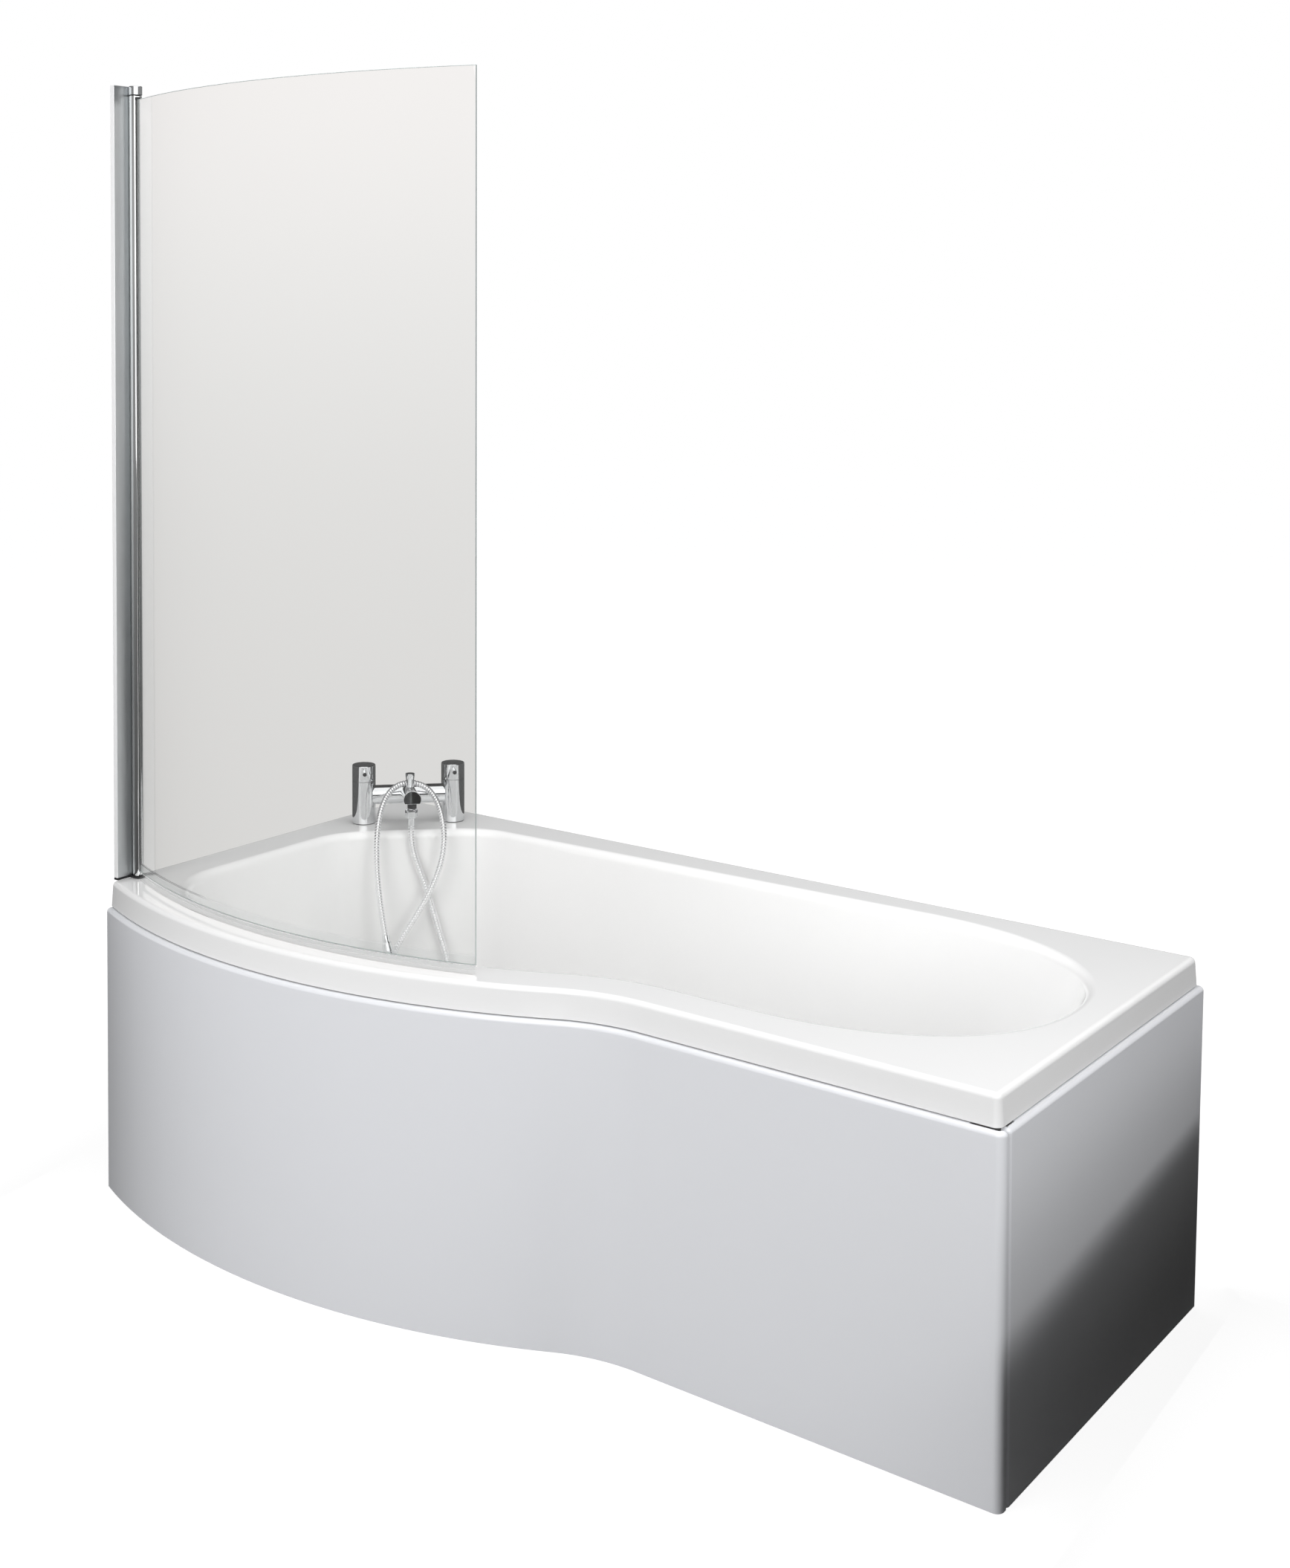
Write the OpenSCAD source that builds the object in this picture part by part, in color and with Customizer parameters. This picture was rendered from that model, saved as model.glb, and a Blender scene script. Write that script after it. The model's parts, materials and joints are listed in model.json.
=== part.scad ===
// B-shaped shower bath with its panels, curved screen, corner mixer, hose, handset and waste.
// Millimetres. While it is drawn, X runs along the back wall from the shower wall, Y is negative
// towards the room and Z is up from the floor. place() then moves it all to the middle of its base.

/* [Bath outline] */
// Length of the rim, from the shower wall to the foot end
bath_len = 1700; // [1650:10:1800]
// Width of the rim along the straight foot end
bath_w = 735; // [700:5:780]
// Width of the rim at the fullest point of the bulge
bulge_w = 895; // [870:5:930]
// Radius of the bulge
bulge_r = 1150; // [1080:10:1250]
// Distance of the fullest point from the shower wall
bulge_x = 460; // [430:10:490]
// Radius of the hollow curve between the bulge and the straight front
blend_r = 300; // [240:10:360]
// Plan radius of the rim's corners
corner_r = 12; // [11:0.5:18]

/* [Rim] */
// Height of the rim above the floor
rim_z = 556; // [530:1:600]
// Depth of the rim's lip
lip_h = 45; // [38:1:60]
// How far the lip leans out from top to bottom
lip_draft = 2.5; // [0.5:0.5:3.5]
// Radius of the rim's upper edge
edge_r = 8; // [4:0.5:8]
// Thickness of the acrylic
shell_t = 5; // [4:0.5:7]

/* [Basin] */
// Deck between the shower wall and the basin
deck_left = 78; // [70:1:90]
// Deck along the back wall beside the taps
deck_back = 82; // [70:1:95]
// Deck along the back wall at the foot end
deck_back_foot = 55; // [50:1:80]
// Deck at the foot end
deck_foot = 50; // [45:1:80]
// Deck along the front
deck_front = 75; // [60:1:85]
// Distance from the line of the taps to the basin's edge
ledge_d = 68; // [60:1:70]
// Plan radius at both ends of the tap ledge
ledge_r = 150; // [120:5:170]
// Plan radius where the shower end meets the front
basin_r = 170; // [140:5:200]
// Length of the rounded foot end
foot_round = 390; // [340:10:420]
// Squareness of the rounded foot end, 2 being an ellipse
foot_square = 2.2; // [2:0.1:2.6]
// Radius of the roll from the deck into the basin
roll_r = 16; // [12:1:18]
// Lean of the basin's walls from upright, in degrees
wall_draft = 4.3; // [3:0.1:5]
// Height of the basin's floor above the ground
floor_z = 160; // [150:1:180]
// Radius between the walls and the floor
floor_r = 60; // [40:5:70]
// Fall of the basin's floor to the waste
floor_fall = 4; // [1:0.5:8]
// How far the backrest slopes in
backrest_run = 200; // [160:10:220]

/* [Panels] */
// How far the panels stand out past the rim
panel_out = 8.5; // [6:0.5:12]
// Thickness of the panels
panel_t = 3.5; // [3:0.5:5]
// Gap between the lip and the panels
panel_gap = 1.5; // [1:0.5:4]
// Radius of the rolled top of the panels
panel_roll = 7; // [5.5:0.5:9]
// Width of the panels' top flange
top_flange = 30; // [28:1:36]
// Width of the panels' foot flange
foot_flange = 18; // [15:1:24]
// Plan radius of the front panel's corner
panel_corner_r = 12; // [10:1:15]
// How far the front panel turns round the corner
panel_return = 18; // [16:1:30]
// Gap between the front panel and the end panel
panel_joint = 3; // [2:0.5:6]
// How far the foot of the end panel is scribed away from the back wall
scribe = 26; // [5:1:40]
// Depth of the timber battens, front to back
batten_d = 25; // [22:1:30]
// Height of the floor battens
batten_h = 30; // [20:1:40]

/* [Supports] */
// Thickness of the baseboard
board_t = 16; // [12:1:22]
// Height of the steel cradle rails
rail_h = 18; // [15:1:25]
// Width of the cradle rails
rail_w = 30; // [28:1:40]
// Thickness of the rails' steel
rail_t = 2; // [1.5:0.5:3]
// Distance of the shower rail from the shower wall
rail_x = 300; // [260:10:400]
// Distance of the foot rail from the foot end
rail_foot = 430; // [410:10:450]
// Distance of the shower rail's front end from the rim's outline
rail_clear = 98.8; // [90:0.1:110]
// Radius of the threaded feet
rod_r = 5; // [4:0.5:6]
// Radius of the foot pads
pad_r = 25; // [20:1:32]
// Width of the wall brackets
bracket_w = 40; // [30:1:50]
// Height of the wall brackets
bracket_h = 60; // [50:1:70]
// Thickness of the wall brackets
bracket_t = 2; // [1.5:0.5:3]
// Length of the screws that hold the panels
panel_screw_l = 28; // [22:1:30]

/* [Screen] */
// Distance of the hinge axis from the shower wall
hinge_x = 22; // [21:0.5:26]
// Distance of the hinge axis inside the circle of the bulge
hinge_inset = 52.8; // [48:0.1:60]
// Radius of the hinge tube
tube_r = 11.4; // [11:0.1:13]
// Radius of the hinge pins
pin_r = 3; // [2.5:0.5:3.5]
// Straight width of the glass from the hinge axis to its free edge
glass_w = 826; // [750:1:860]
// Height of the glass
glass_h = 1395; // [1300:5:1450]
// Thickness of the glass
glass_t = 6; // [5:1:6]
// Radius that the glass is curved to
glass_r = 1094; // [1000:2:1300]
// Distance of the glass's free edge inside the circle of the bulge
screen_inset = 38.4; // [36:0.1:44]
// Depth of the seal below the glass
seal_drop = 14.7; // [10:0.1:20]
// Grip of the seal on the glass
seal_grip = 15; // [10:1:20]
// Width of the wall profile
profile_w = 55; // [50:1:60]
// Wall thickness of the wall profile
profile_t = 1.6; // [1.4:0.2:2.5]

/* [Mixer] */
// Distance of the mixer's middle from the shower wall
tap_x = 135; // [130:1:140]
// Distance of the mixer's middle from the back wall
tap_y = 139; // [134:1:144]
// Distance between the two pillars
tap_pitch = 180; // [176:1:184]
// Radius of the pillars
pillar_r = 23.5; // [22:0.5:25]
// Height of the pillars up to the handles
pillar_h = 86; // [84:1:95]
// Height of the handles
handle_h = 32; // [28:1:38]
// Radius of the handles' lever pins
lever_r = 4.2; // [3.5:0.1:5]
// How far the lever pins stand out of the handles
lever_l = 22.5; // [18:0.5:30]
// Radius of the bridge between the pillars
bridge_r = 19; // [17:0.5:20]
// Height of the bridge's axis above the deck
bridge_z = 56; // [54:1:58]
// Reach of the spout
spout_l = 130; // [125:1:150]
// Half width of the spout
spout_r = 17.5; // [16:0.5:18]
// Rise of the spout, in degrees
spout_rise = 8; // [6:0.5:9]
// Distance of the diverter knob from the bridge's axis
knob_d = 53; // [52:0.5:56]
// Travel of the diverter knob
knob_travel = 8; // [4:1:10]
// Distance of the shower outlet from the bridge's axis
outlet_d = 94; // [90:1:96]
// Radius of the threaded tails
tail_r = 13.2; // [10.4:0.1:13.5]
// Radius of the tap holes in the deck
tap_hole_r = 16; // [14.5:0.5:18]
// Length of the tails below the deck
tail_l = 55; // [45:1:70]
// Thickness of the wall of the tails
tail_wall = 4.2; // [2.5:0.1:5]
// Thickness of the rubber washers
washer_t = 1.5; // [1:0.1:2]
// Height of the backnuts
backnut_h = 8; // [6:0.5:10]

/* [Hose and handset] */
// Outer radius of the hose
hose_r = 6; // [5:0.5:6.5]
// Depth of the hose's ribs
rib_h = 0.7; // [0.4:0.1:1]
// Radius of the hose's bore
hose_bore = 3.5; // [3:0.5:4]
// Number of ribs along the hose
ribs = 160; // [100:10:200]
// Size across the flats of the hose nut
nut_af = 22; // [20:1:24]
// Length of the hose's ferrules
ferrule_l = 12; // [10:1:16]
// Length of the cone nut on the handset
cone_l = 20; // [16:1:26]
// Length of the handset
handset_l = 180; // [160:1:182]
// Radius of the handset's head
head_r = 33; // [28:1:38]

/* [Waste and overflow] */
// Distance of the waste from the foot end
waste_from_foot = 550; // [540:10:580]
// Radius of the waste hole
waste_r = 26; // [25.5:0.5:28]
// Radius of the waste flange
flange_r = 36; // [34:1:40]
// Radius of the waste outlet's thread
outlet_r = 23.9; // [20:0.1:24]
// Length of the waste outlet's thread
outlet_l = 20; // [15:1:22]
// Depth of the waste body below the basin's floor
waste_h = 75; // [73:1:80]
// Travel of the sprung plug
plug_travel = 8; // [5:1:10]
// Height of the overflow above the floor
overflow_z = 455; // [440:5:465]
// Radius of the overflow hole
overflow_r = 22; // [20:1:26]
// Radius of the overflow hose
pipe_r = 11; // [9:1:13]

/* [Fits] */
// Clearance all round a shaft that turns in its bush
run_fit = 0.05; // [0.03:0.01:0.1]
// Gap between pieces that move past each other
move_gap = 0.5; // [0.3:0.1:1]
// Clearance all round a bolt or screw in its hole
hole_fit = 0.3; // [0.1:0.1:0.8]
// Gap between fixed pieces that are bonded or bedded
bed_gap = 0.2; // [0.1:0.1:0.3]
// Bead of adhesive between the rim's lip and its battens
glue_gap = 0.8; // [0.6:0.1:1.5]

/* [Hidden] */

white = "white";
panel_grey = "#d4d6dc";
chrome = "silver";
clear = "#e4e6e6";
timber = "burlywood";
steel = "slategray";
dark = "#303030";

// Outline of the rim
bulge_cy = bulge_r - bulge_w;
blend_cy = -(bath_w + blend_r);
blend_cx = bulge_x + sqrt(pow(bulge_r + blend_r, 2) - pow(blend_cy - bulge_cy, 2));
bulge_c = [bulge_x, bulge_cy];
blend_c = [blend_cx, blend_cy];
join_deg = 360 + atan2(blend_cy - bulge_cy, blend_cx - bulge_x);
lip_z = rim_z - lip_h;
under_z = rim_z - shell_t;

// Basin
wall_deg = 90 - wall_draft;
basin_h = rim_z - floor_z - floor_fall;
wall_run = (basin_h - (roll_r + floor_r) * (1 - cos(wall_deg))) / sin(wall_deg);
foot_cx = max(bath_len - deck_foot - foot_round, blend_cx + 10);
foot_lag = 0.4;
ledge_line = tap_x + tap_y + ledge_d * sqrt(2);
waste_seat_r = 1.25 * flange_r;
waste_x = bath_len - waste_from_foot;
waste_y = -(deck_back_foot + bath_w - deck_front) / 2;

// Panels
panel_z = lip_z - panel_gap;
panel_face = bath_w + panel_out;
end_face = bath_len + panel_out;
batten_in = lip_draft + shell_t + glue_gap;
strip_x = 20;
corner_clear = 45;
screw_in = 16;
screw_r = 2.2;

// Supports
board_z = floor_z - shell_t - bed_gap;
rail_z = board_z - board_t;
rail_foot_x = bath_len - rail_foot;
rail_end = 60;
rail_screw_l = rail_t + 0.7 * board_t;
rail_screw_out = 130;
rod_in = 25;
pad_h = 10;
rod_top = rail_z + 30;
rail_front_shower = sqrt(pow(bulge_r, 2) - pow(rail_x - bulge_x, 2)) - bulge_cy - rail_clear;
rail_front_foot = bath_w - rail_end;

// Screen, hung on one point inside the bulge and ending at another
hinge_y = sqrt(pow(bulge_r - hinge_inset, 2) - pow(bulge_x - hinge_x, 2)) - bulge_cy;
to_middle = bulge_r - hinge_inset;
to_edge = bulge_r - screen_inset;
screen_turn = acos((pow(glass_w, 2) + pow(to_middle, 2) - pow(to_edge, 2)) / (2 * glass_w * to_middle));
screen_yaw = atan2(bulge_cy + hinge_y, bulge_x - hinge_x) - screen_turn;
glass_z = rim_z + seal_drop + 0.3;
glass_top = glass_z + glass_h;
tube_z = rim_z + 6;
tube_top = glass_top + 8;
cap_z = tube_top + 1 + move_gap;
cap_h = 16;
screw_head = 2;
low_cap_z = rim_z + 1;
low_cap_h = tube_z - 1 - move_gap - low_cap_z;
profile_d = hinge_x - tube_r - move_gap;
profile_front = 0.73 * profile_w;
port_in = 7;
bush_r = 5;
bush_l = 22;
slot_r = bush_r + 1.4;
slot_w = glass_t + 2.4;
gasket_out = tube_r + 5;
glass_rise = sqrt(pow(glass_r, 2) - pow(glass_w / 2, 2));
glass_a0 = 180 + atan2(glass_rise, glass_w / 2);
glass_a1 = 360 - atan2(glass_rise, glass_w / 2);
glass_start_deg = (slot_r + 1.3) / glass_r * 180 / PI;
glass_heading = glass_a0 + 90;

// Mixer
backnut_z = -shell_t - bed_gap - washer_t - backnut_h;
tail_bore = tail_r - tail_wall;
lever_z = pillar_h + handle_h - 11;
spindle_r = 4;
headwork_r = 14;
headwork_h = 34;
knob_foot = 5.8;
spout_floor = 8.5;
knob_z = bridge_z + (knob_d + 6) * tan(spout_rise) + spout_r / cos(spout_rise);
knob_h = 27;
rod_thick = 2.5;
aerator_d = spout_l - 13;
aerator_r = 10.5;
aerator_z = bridge_z - 1;
nipple_r = 8;
nut_h = 17;
nut_z = 31;

// Route of the hose from the outlet, over the bridge and down into the basin. Its points are side,
// distance from the bridge towards the basin and height above the deck, all from the mixer's middle.
hose_route = [
    [0, 94, 10], [0, 94, -2], [0, 94, -14], [4, 96, -40], [13, 98, -66], [23, 101, -92],
    [34, 104, -126], [46, 108, -167], [57, 112, -205], [68, 116, -241], [75, 120, -277],
    [67, 124, -312], [44, 127, -339], [11, 128, -350], [-23, 128, -340], [-46, 128, -310],
    [-50, 127, -268], [-37, 126, -224], [-7, 125, -178], [18, 124, -140], [38, 122, -104],
    [54, 118, -68], [63, 112, -32], [65, 102, 4], [60, 86, 38], [50, 63, 63], [31, 43, 82],
    [2, 36, 88.5], [-27, 42, 84], [-48, 60, 68], [-61, 82, 42], [-68, 101, 8], [-70, 112, -34],
    [-69, 120, -76], [-64, 130, -124], [-58, 138.6, -164.7], [-56, 142, -176], [-54, 145.4, -187.3]
];
fine_steps = 8;

// Waste and overflow
waste_body_r = outlet_r + 1;
waste_port = 42;
port_l = 12;
pipe_t = 2;
pipe_bend = 50;
overflow_in = (rim_z - overflow_z - roll_r) * tan(wall_draft) + roll_r;
elbow_r = overflow_r + 6;

function lerp(a, b, t) = a + (b - a) * t;
function unit(v) = v / norm(v);
function between(p, q, n) = [for (i = [1:n]) lerp(p, q, i / (n + 1))];
function arc(c, r, a0, a1, n, first = 0) = [
    for (i = [first:n])
        let (a = lerp(a0, a1, i / n))
        [c[0] + r * cos(a), c[1] + r * sin(a)]
];
function arm(a) = [cos(a), sin(a)];
function lift(points, z) = [for (p = points) [p[0], p[1], z]];
function power(v, e) = sign(v) * pow(abs(v), e);

// Centre of a circle of radius r that touches the line X = x and the inside of the bulge
function bulge_fillet(x, r, big_r) = [x + r, bulge_cy - sqrt(pow(big_r - r, 2) - pow(x + r - bulge_x, 2))];

// Point at x on the front's outline drawn in by s, with the angle that faces out of the bath there
function front_at(x, s) =
    let (
        join_x = bulge_x + (bulge_r - s) * cos(join_deg),
        hollow = acos(min(max((x - blend_cx) / (blend_r + s), -1), 1)),
        round = 360 - acos(min(max((x - bulge_x) / (bulge_r - s), -1), 1))
    )
    x >= blend_cx ? [[x, s - bath_w], 270]
    : x >= join_x ? [blend_c + (blend_r + s) * arm(hollow), hollow + 180]
    : [bulge_c + (bulge_r - s) * arm(round), round];

overflow_at = front_at(waste_x, deck_front + overflow_in);

// Where the wall behind the elbow's flange is hollow, the flange stands off by the wall's depth there
hollow_r = blend_r + deck_front + overflow_in - shell_t;
hollow_reach = min(max(elbow_r - (waste_x - blend_cx), 0), elbow_r);
hollow_facet = hollow_r * (1 - cos((join_deg - 270) / 12));
elbow_lift = hollow_r - sqrt(pow(hollow_r, 2) - pow(hollow_reach, 2))
    + hollow_facet * hollow_reach / elbow_r;
elbow_at = overflow_at[0] + (shell_t + 14 + elbow_lift) * arm(overflow_at[1]);
elbow_run = [elbow_at[0] - waste_x, elbow_at[1] - waste_y];

// One ring round the rim, drawn in by off from its outline
function rim_ring(off, z) =
    let (
        r = max(corner_r - off, 0.5),
        back = -off,
        front = -(bath_w - off),
        right = bath_len - off,
        big_r = bulge_r - off,
        corner = bulge_fillet(off, r, big_r),
        start = 180 + atan2(bulge_cy - corner[1], bulge_x - corner[0]),
        ledge_end = ledge_line + ledge_r / 2
    )
    lift(concat(
        between([foot_cx, front], [right - r, front], 3),
        arc([right - r, front + r], r, -90, 0, 4),
        between([right, front + r], [right, back - r], 3),
        arc([right - r, back - r], r, 0, 90, 4),
        between([right - r, back], [foot_cx, back], 3),
        between([foot_cx, back], [ledge_end, back], 5),
        between([ledge_end, back], [ledge_line - ledge_r, back], 5),
        between([ledge_line - ledge_r, back], [off + r, back], 1),
        arc([off + r, back - r], r, 90, 180, 4),
        between([off, back - r], [off, ledge_r - ledge_line], 1),
        between([off, ledge_r - ledge_line], [off, -ledge_end], 5),
        between([off, -ledge_end], [off, corner[1]], 4),
        arc(corner, r, 180, start, 5),
        arc(bulge_c, big_r, start, join_deg, 18, 1),
        arc(blend_c, blend_r + off, join_deg - 180, 90, 6, 1),
        between([blend_cx, front], [foot_cx, front], 4)
    ), z);

// One ring round the basin, drawn in by s from its edge, with its foot end pulled in by q more
function basin_ring(s, q, z) =
    let (
        back = -(deck_back + s),
        foot_back = -(deck_back_foot + s),
        front = -(bath_w - deck_front - s),
        left = deck_left + s,
        cx = max(foot_cx - foot_lag * (s + q), blend_cx + 10),
        half_l = bath_len - deck_foot - s - q - cx,
        half_w = (foot_back - front) / 2,
        line = ledge_line + s * sqrt(2),
        r1 = max(ledge_r - s, 25),
        tangent = r1 * tan(22.5),
        c1 = [line + back + tangent, back - r1],
        c2 = [left + r1, left - line - tangent],
        r2 = max(basin_r - s, 25),
        big_r = bulge_r - deck_front - s,
        c3 = bulge_fillet(left, r2, big_r),
        start = 180 + atan2(bulge_cy - c3[1], bulge_x - c3[0]),
        foot = [
            for (i = [0:18])
                let (a = lerp(-90, 90, i / 18), e = 2 / foot_square)
                [cx + half_l * power(cos(a), e), front + half_w * (1 + power(sin(a), e))]
        ]
    )
    lift(concat(
        foot,
        between([cx, foot_back], [c1[0], back], 5),
        arc(c1, r1, 90, 135, 4),
        between(c1 + r1 * arm(135), c2 + r1 * arm(135), 7),
        arc(c2, r1, 135, 180, 4),
        between([left, c2[1]], [left, c3[1]], 4),
        arc(c3, r2, 180, start, 5),
        arc(bulge_c, big_r, start, join_deg, 18, 1),
        arc(blend_c, blend_r + deck_front + s, join_deg - 180, 90, 6, 1),
        between([blend_cx, front], [cx, front], 4)
    ), z);

// Wall of the basin as rows of inset, height below the deck and slope: roll, wall and floor curve
roll_foot = [roll_r * sin(wall_deg), roll_r * (1 - cos(wall_deg))];
wall_foot = roll_foot + wall_run * arm(wall_deg);
function wall_rows() = concat(
    [for (k = [0:4]) let (a = wall_deg * k / 4) [roll_r * sin(a), roll_r * (1 - cos(a)), a]],
    [for (k = [1:4]) let (p = lerp(roll_foot, wall_foot, k / 4)) [p[0], p[1], wall_deg]],
    [for (k = [1:4]) let (a = wall_deg * (1 - k / 4))
        [wall_foot[0] + floor_r * (sin(wall_deg) - sin(a)), basin_h - floor_r * (1 - cos(a)), a]]
);

function pull(drop) = backrest_run * pow(max(drop - roll_r, 0) / (basin_h - roll_r), 1.15);
function upper_row(w) = basin_ring(w[0], pull(w[1]), rim_z - w[1]);
function lower_row(w) =
    basin_ring(w[0] - shell_t * sin(w[2]), pull(w[1]), rim_z - w[1] - shell_t * cos(w[2]));

// Ring of the flat seat round the waste, with its points in step with those of another ring
function seat_ring(outer, z) = [
    for (p = outer)
        let (v = unit([p[0] - waste_x, p[1] - waste_y]))
        [waste_x + waste_seat_r * v[0], waste_y + waste_seat_r * v[1], z]
];

function reversed(list) = [for (i = [len(list) - 1:-1:0]) list[i]];

// Solid through a stack of rings with equal numbers of points, capped at both ends or closed on itself.
// A ring round a bent strip has its face first and then its back, and its caps are made square by square.
module skin(rows, loop = false, strip = false) {
    n = len(rows[0]);
    m = len(rows);
    last = loop ? m - 1 : m - 2;
    sides = [
        for (i = [0:last], j = [0:n - 1])
            let (i2 = (i + 1) % m, j2 = (j + 1) % n)
            for (f = [[i * n + j, i2 * n + j, i2 * n + j2], [i * n + j, i2 * n + j2, i * n + j2]])
                f
    ];
    first = strip ? [for (i = [0:n / 2 - 2]) [i, i + 1, n - 2 - i, n - 1 - i]] : [[for (j = [0:n - 1]) j]];
    caps = loop ? [] : concat(first, [for (f = first) [for (j = reversed(f)) (m - 1) * n + j]]);
    polyhedron([for (r = rows, p = r) p], concat(sides, caps));
}

module place() {
    translate([-(bath_len + panel_out) / 2, (bulge_w + panel_out) / 2, 0]) children();
}

// Mixer frame: middle of the mixer on the deck, X across the pillars, -Y towards the basin
module at_mixer() {
    place() translate([tap_x, -tap_y, rim_z]) rotate([0, 0, 45]) children();
}

module at_pillars() {
    for (side = [-1, 1]) translate([side * tap_pitch / 2, 0, 0]) children();
}

// Screen frame: hinge axis, X along the chord of the closed glass
module at_screen() {
    place() translate([hinge_x, -hinge_y, 0]) rotate([0, 0, screen_yaw]) children();
}

module tube(r, bore, h) {
    difference() {
        cylinder(r = r, h = h, $fn = 64);
        translate([0, 0, -1]) cylinder(r = bore, h = h + 2, $fn = 64);
    }
}

module hex_nut(af, bore, h) {
    difference() {
        cylinder(r = af / sqrt(3), h = h, $fn = 6);
        translate([0, 0, -1]) cylinder(r = bore, h = h + 2, $fn = 64);
    }
}

// Moulded acrylic shell: lip, rolled rim, deck, basin and floor in one skin
module bath_shell() {
    rows = wall_rows();
    floor_row = rows[len(rows) - 1];
    upper = [for (w = rows) upper_row(w)];
    lower = [for (w = rows) lower_row(w)];
    edge = [
        for (k = [0:3])
            let (a = 90 * k / 3)
            rim_ring(lip_draft + edge_r * (1 - cos(a)), rim_z - edge_r * (1 - sin(a)))
    ];
    color(white) place() difference() {
        skin(concat(
            [seat_ring(lower_row(floor_row), floor_z - shell_t)],
            reversed(lower),
            [rim_ring(lip_draft + shell_t, under_z), rim_ring(shell_t, lip_z), rim_ring(0, lip_z)],
            edge,
            upper,
            [seat_ring(upper_row(floor_row), floor_z)]
        ));
        translate([tap_x, -tap_y, under_z - 1]) rotate([0, 0, 45])
            at_pillars() cylinder(r = tap_hole_r, h = shell_t + 2, $fn = 64);
        translate([waste_x, waste_y, floor_z - shell_t - 1]) cylinder(r = waste_r, h = shell_t + 2, $fn = 64);
        overflow_axis() translate([0, 0, -20]) cylinder(r = overflow_r, h = 40, $fn = 64);
    }
}

// Timber board that stiffens the floor from below
module baseboard() {
    rows = wall_rows();
    edge = basin_ring(rows[len(rows) - 1][0] + 8, backrest_run, 0);
    color(timber) place() difference() {
        translate([0, 0, rail_z]) linear_extrude(board_t) polygon([for (p = edge) [p[0], p[1]]]);
        translate([waste_x, waste_y, rail_z - 1]) cylinder(r = waste_seat_r, h = board_t + 2, $fn = 64);
        at_rail_screws() translate([0, 0, -5])
            cylinder(r = screw_r + hole_fit, h = rail_screw_l + 6, $fn = 24);
    }
}

// A strip of rectangular section that follows the front at a distance inside the rim's outline
module front_strip(inset, depth, height) {
    a0 = 180 + acos((bulge_x - strip_x) / bulge_r);
    translate([bulge_x, bulge_cy, 0])
        rotate_extrude(start = a0, angle = join_deg - a0, $fn = 180)
            translate([bulge_r - inset - depth, 0]) square([depth, height]);
    translate([blend_cx, -(bath_w - inset), 0]) cube([bath_len - blend_cx - corner_clear, depth, height]);
}

module end_strip(inset, depth, height) {
    translate([bath_len - inset - depth, corner_clear - bath_w, 0])
        cube([depth, bath_w - 2 * corner_clear, height]);
}

// Timber battens bonded under the rim, which take the panel screws
module rim_battens() {
    color(timber) place() difference() {
        translate([0, 0, panel_z + bed_gap]) {
            front_strip(batten_in, batten_d, under_z - panel_z - 2 * bed_gap);
            end_strip(batten_in, batten_d, under_z - panel_z - 2 * bed_gap);
        }
        at_panel_screws() cylinder(r = screw_r + hole_fit, h = 30, $fn = 24);
    }
}

module floor_battens() {
    inset = foot_flange - panel_out + bed_gap;
    color(timber) place() {
        front_strip(inset, batten_d, batten_h);
        end_strip(inset, batten_d, batten_h);
    }
}

// Cradle rails: inverted steel channels under the baseboard
module rail(x, front) {
    difference() {
        translate([x - rail_w / 2, -front, rail_z - bed_gap - rail_h])
            cube([rail_w, front - rail_end, rail_h]);
        translate([x - rail_w / 2 + rail_t, -front - 1, rail_z - bed_gap - rail_h - 1])
            cube([rail_w - 2 * rail_t, front - rail_end + 2, rail_h + 1 - rail_t]);
        at_rods() translate([0, 0, rail_z - 2 * rail_h])
            cylinder(r = rod_r + hole_fit, h = 3 * rail_h, $fn = 32);
        at_rail_screws() translate([0, 0, -10]) cylinder(r = screw_r + hole_fit, h = 20, $fn = 24);
    }
}

module cradle_rail_shower() {
    color(steel) place() rail(rail_x, rail_front_shower);
}

module cradle_rail_foot() {
    color(steel) place() rail(rail_foot_x, rail_front_foot);
}

module at_rods() {
    for (p = [[rail_x, rail_front_shower], [rail_foot_x, rail_front_foot]]) {
        translate([p[0], -(rail_end + rod_in), 0]) children();
        translate([p[0], -(p[1] - rod_in), 0]) children();
    }
}

// Underside of the rails' webs, where their screws pass up into the board
module at_rail_screws() {
    for (x = [rail_x, rail_foot_x], side = [-1, 1])
        translate([x, waste_y + side * rail_screw_out, rail_z - bed_gap - rail_t]) children();
}

module foot_rods() {
    color(steel) place() at_rods() translate([0, 0, 4]) cylinder(r = rod_r, h = rod_top - 4, $fn = 32);
}

// Lock nuts above and below each rail and on top of each pad
module foot_nuts() {
    h = 1.4 * rod_r;
    web = rail_z - bed_gap;
    color(steel) place() at_rods()
        for (z = [web + bed_gap, web - rail_t - h - bed_gap, pad_h + bed_gap])
            translate([0, 0, z]) hex_nut(3.4 * rod_r, rod_r + run_fit, h);
}

// Plastic pads with a dished top, on which the bath stands
module foot_pads() {
    color(dark) place() at_rods() difference() {
        rotate_extrude($fn = 64) polygon([[0, 0], [pad_r, 0], [pad_r, 3], [2.2 * rod_r, pad_h], [0, pad_h]]);
        translate([0, 0, 4 - bed_gap]) cylinder(r = rod_r + run_fit, h = pad_h, $fn = 32);
    }
}

module pan_screw(l) {
    cylinder(r = screw_r, h = l, $fn = 24);
    translate([0, 0, -2.2]) cylinder(r = 2 * screw_r, h = 2.2 + run_fit, $fn = 24);
}

module rail_screws() {
    color(steel) place() at_rail_screws() translate([0, 0, -bed_gap]) pan_screw(rail_screw_l);
}

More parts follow.
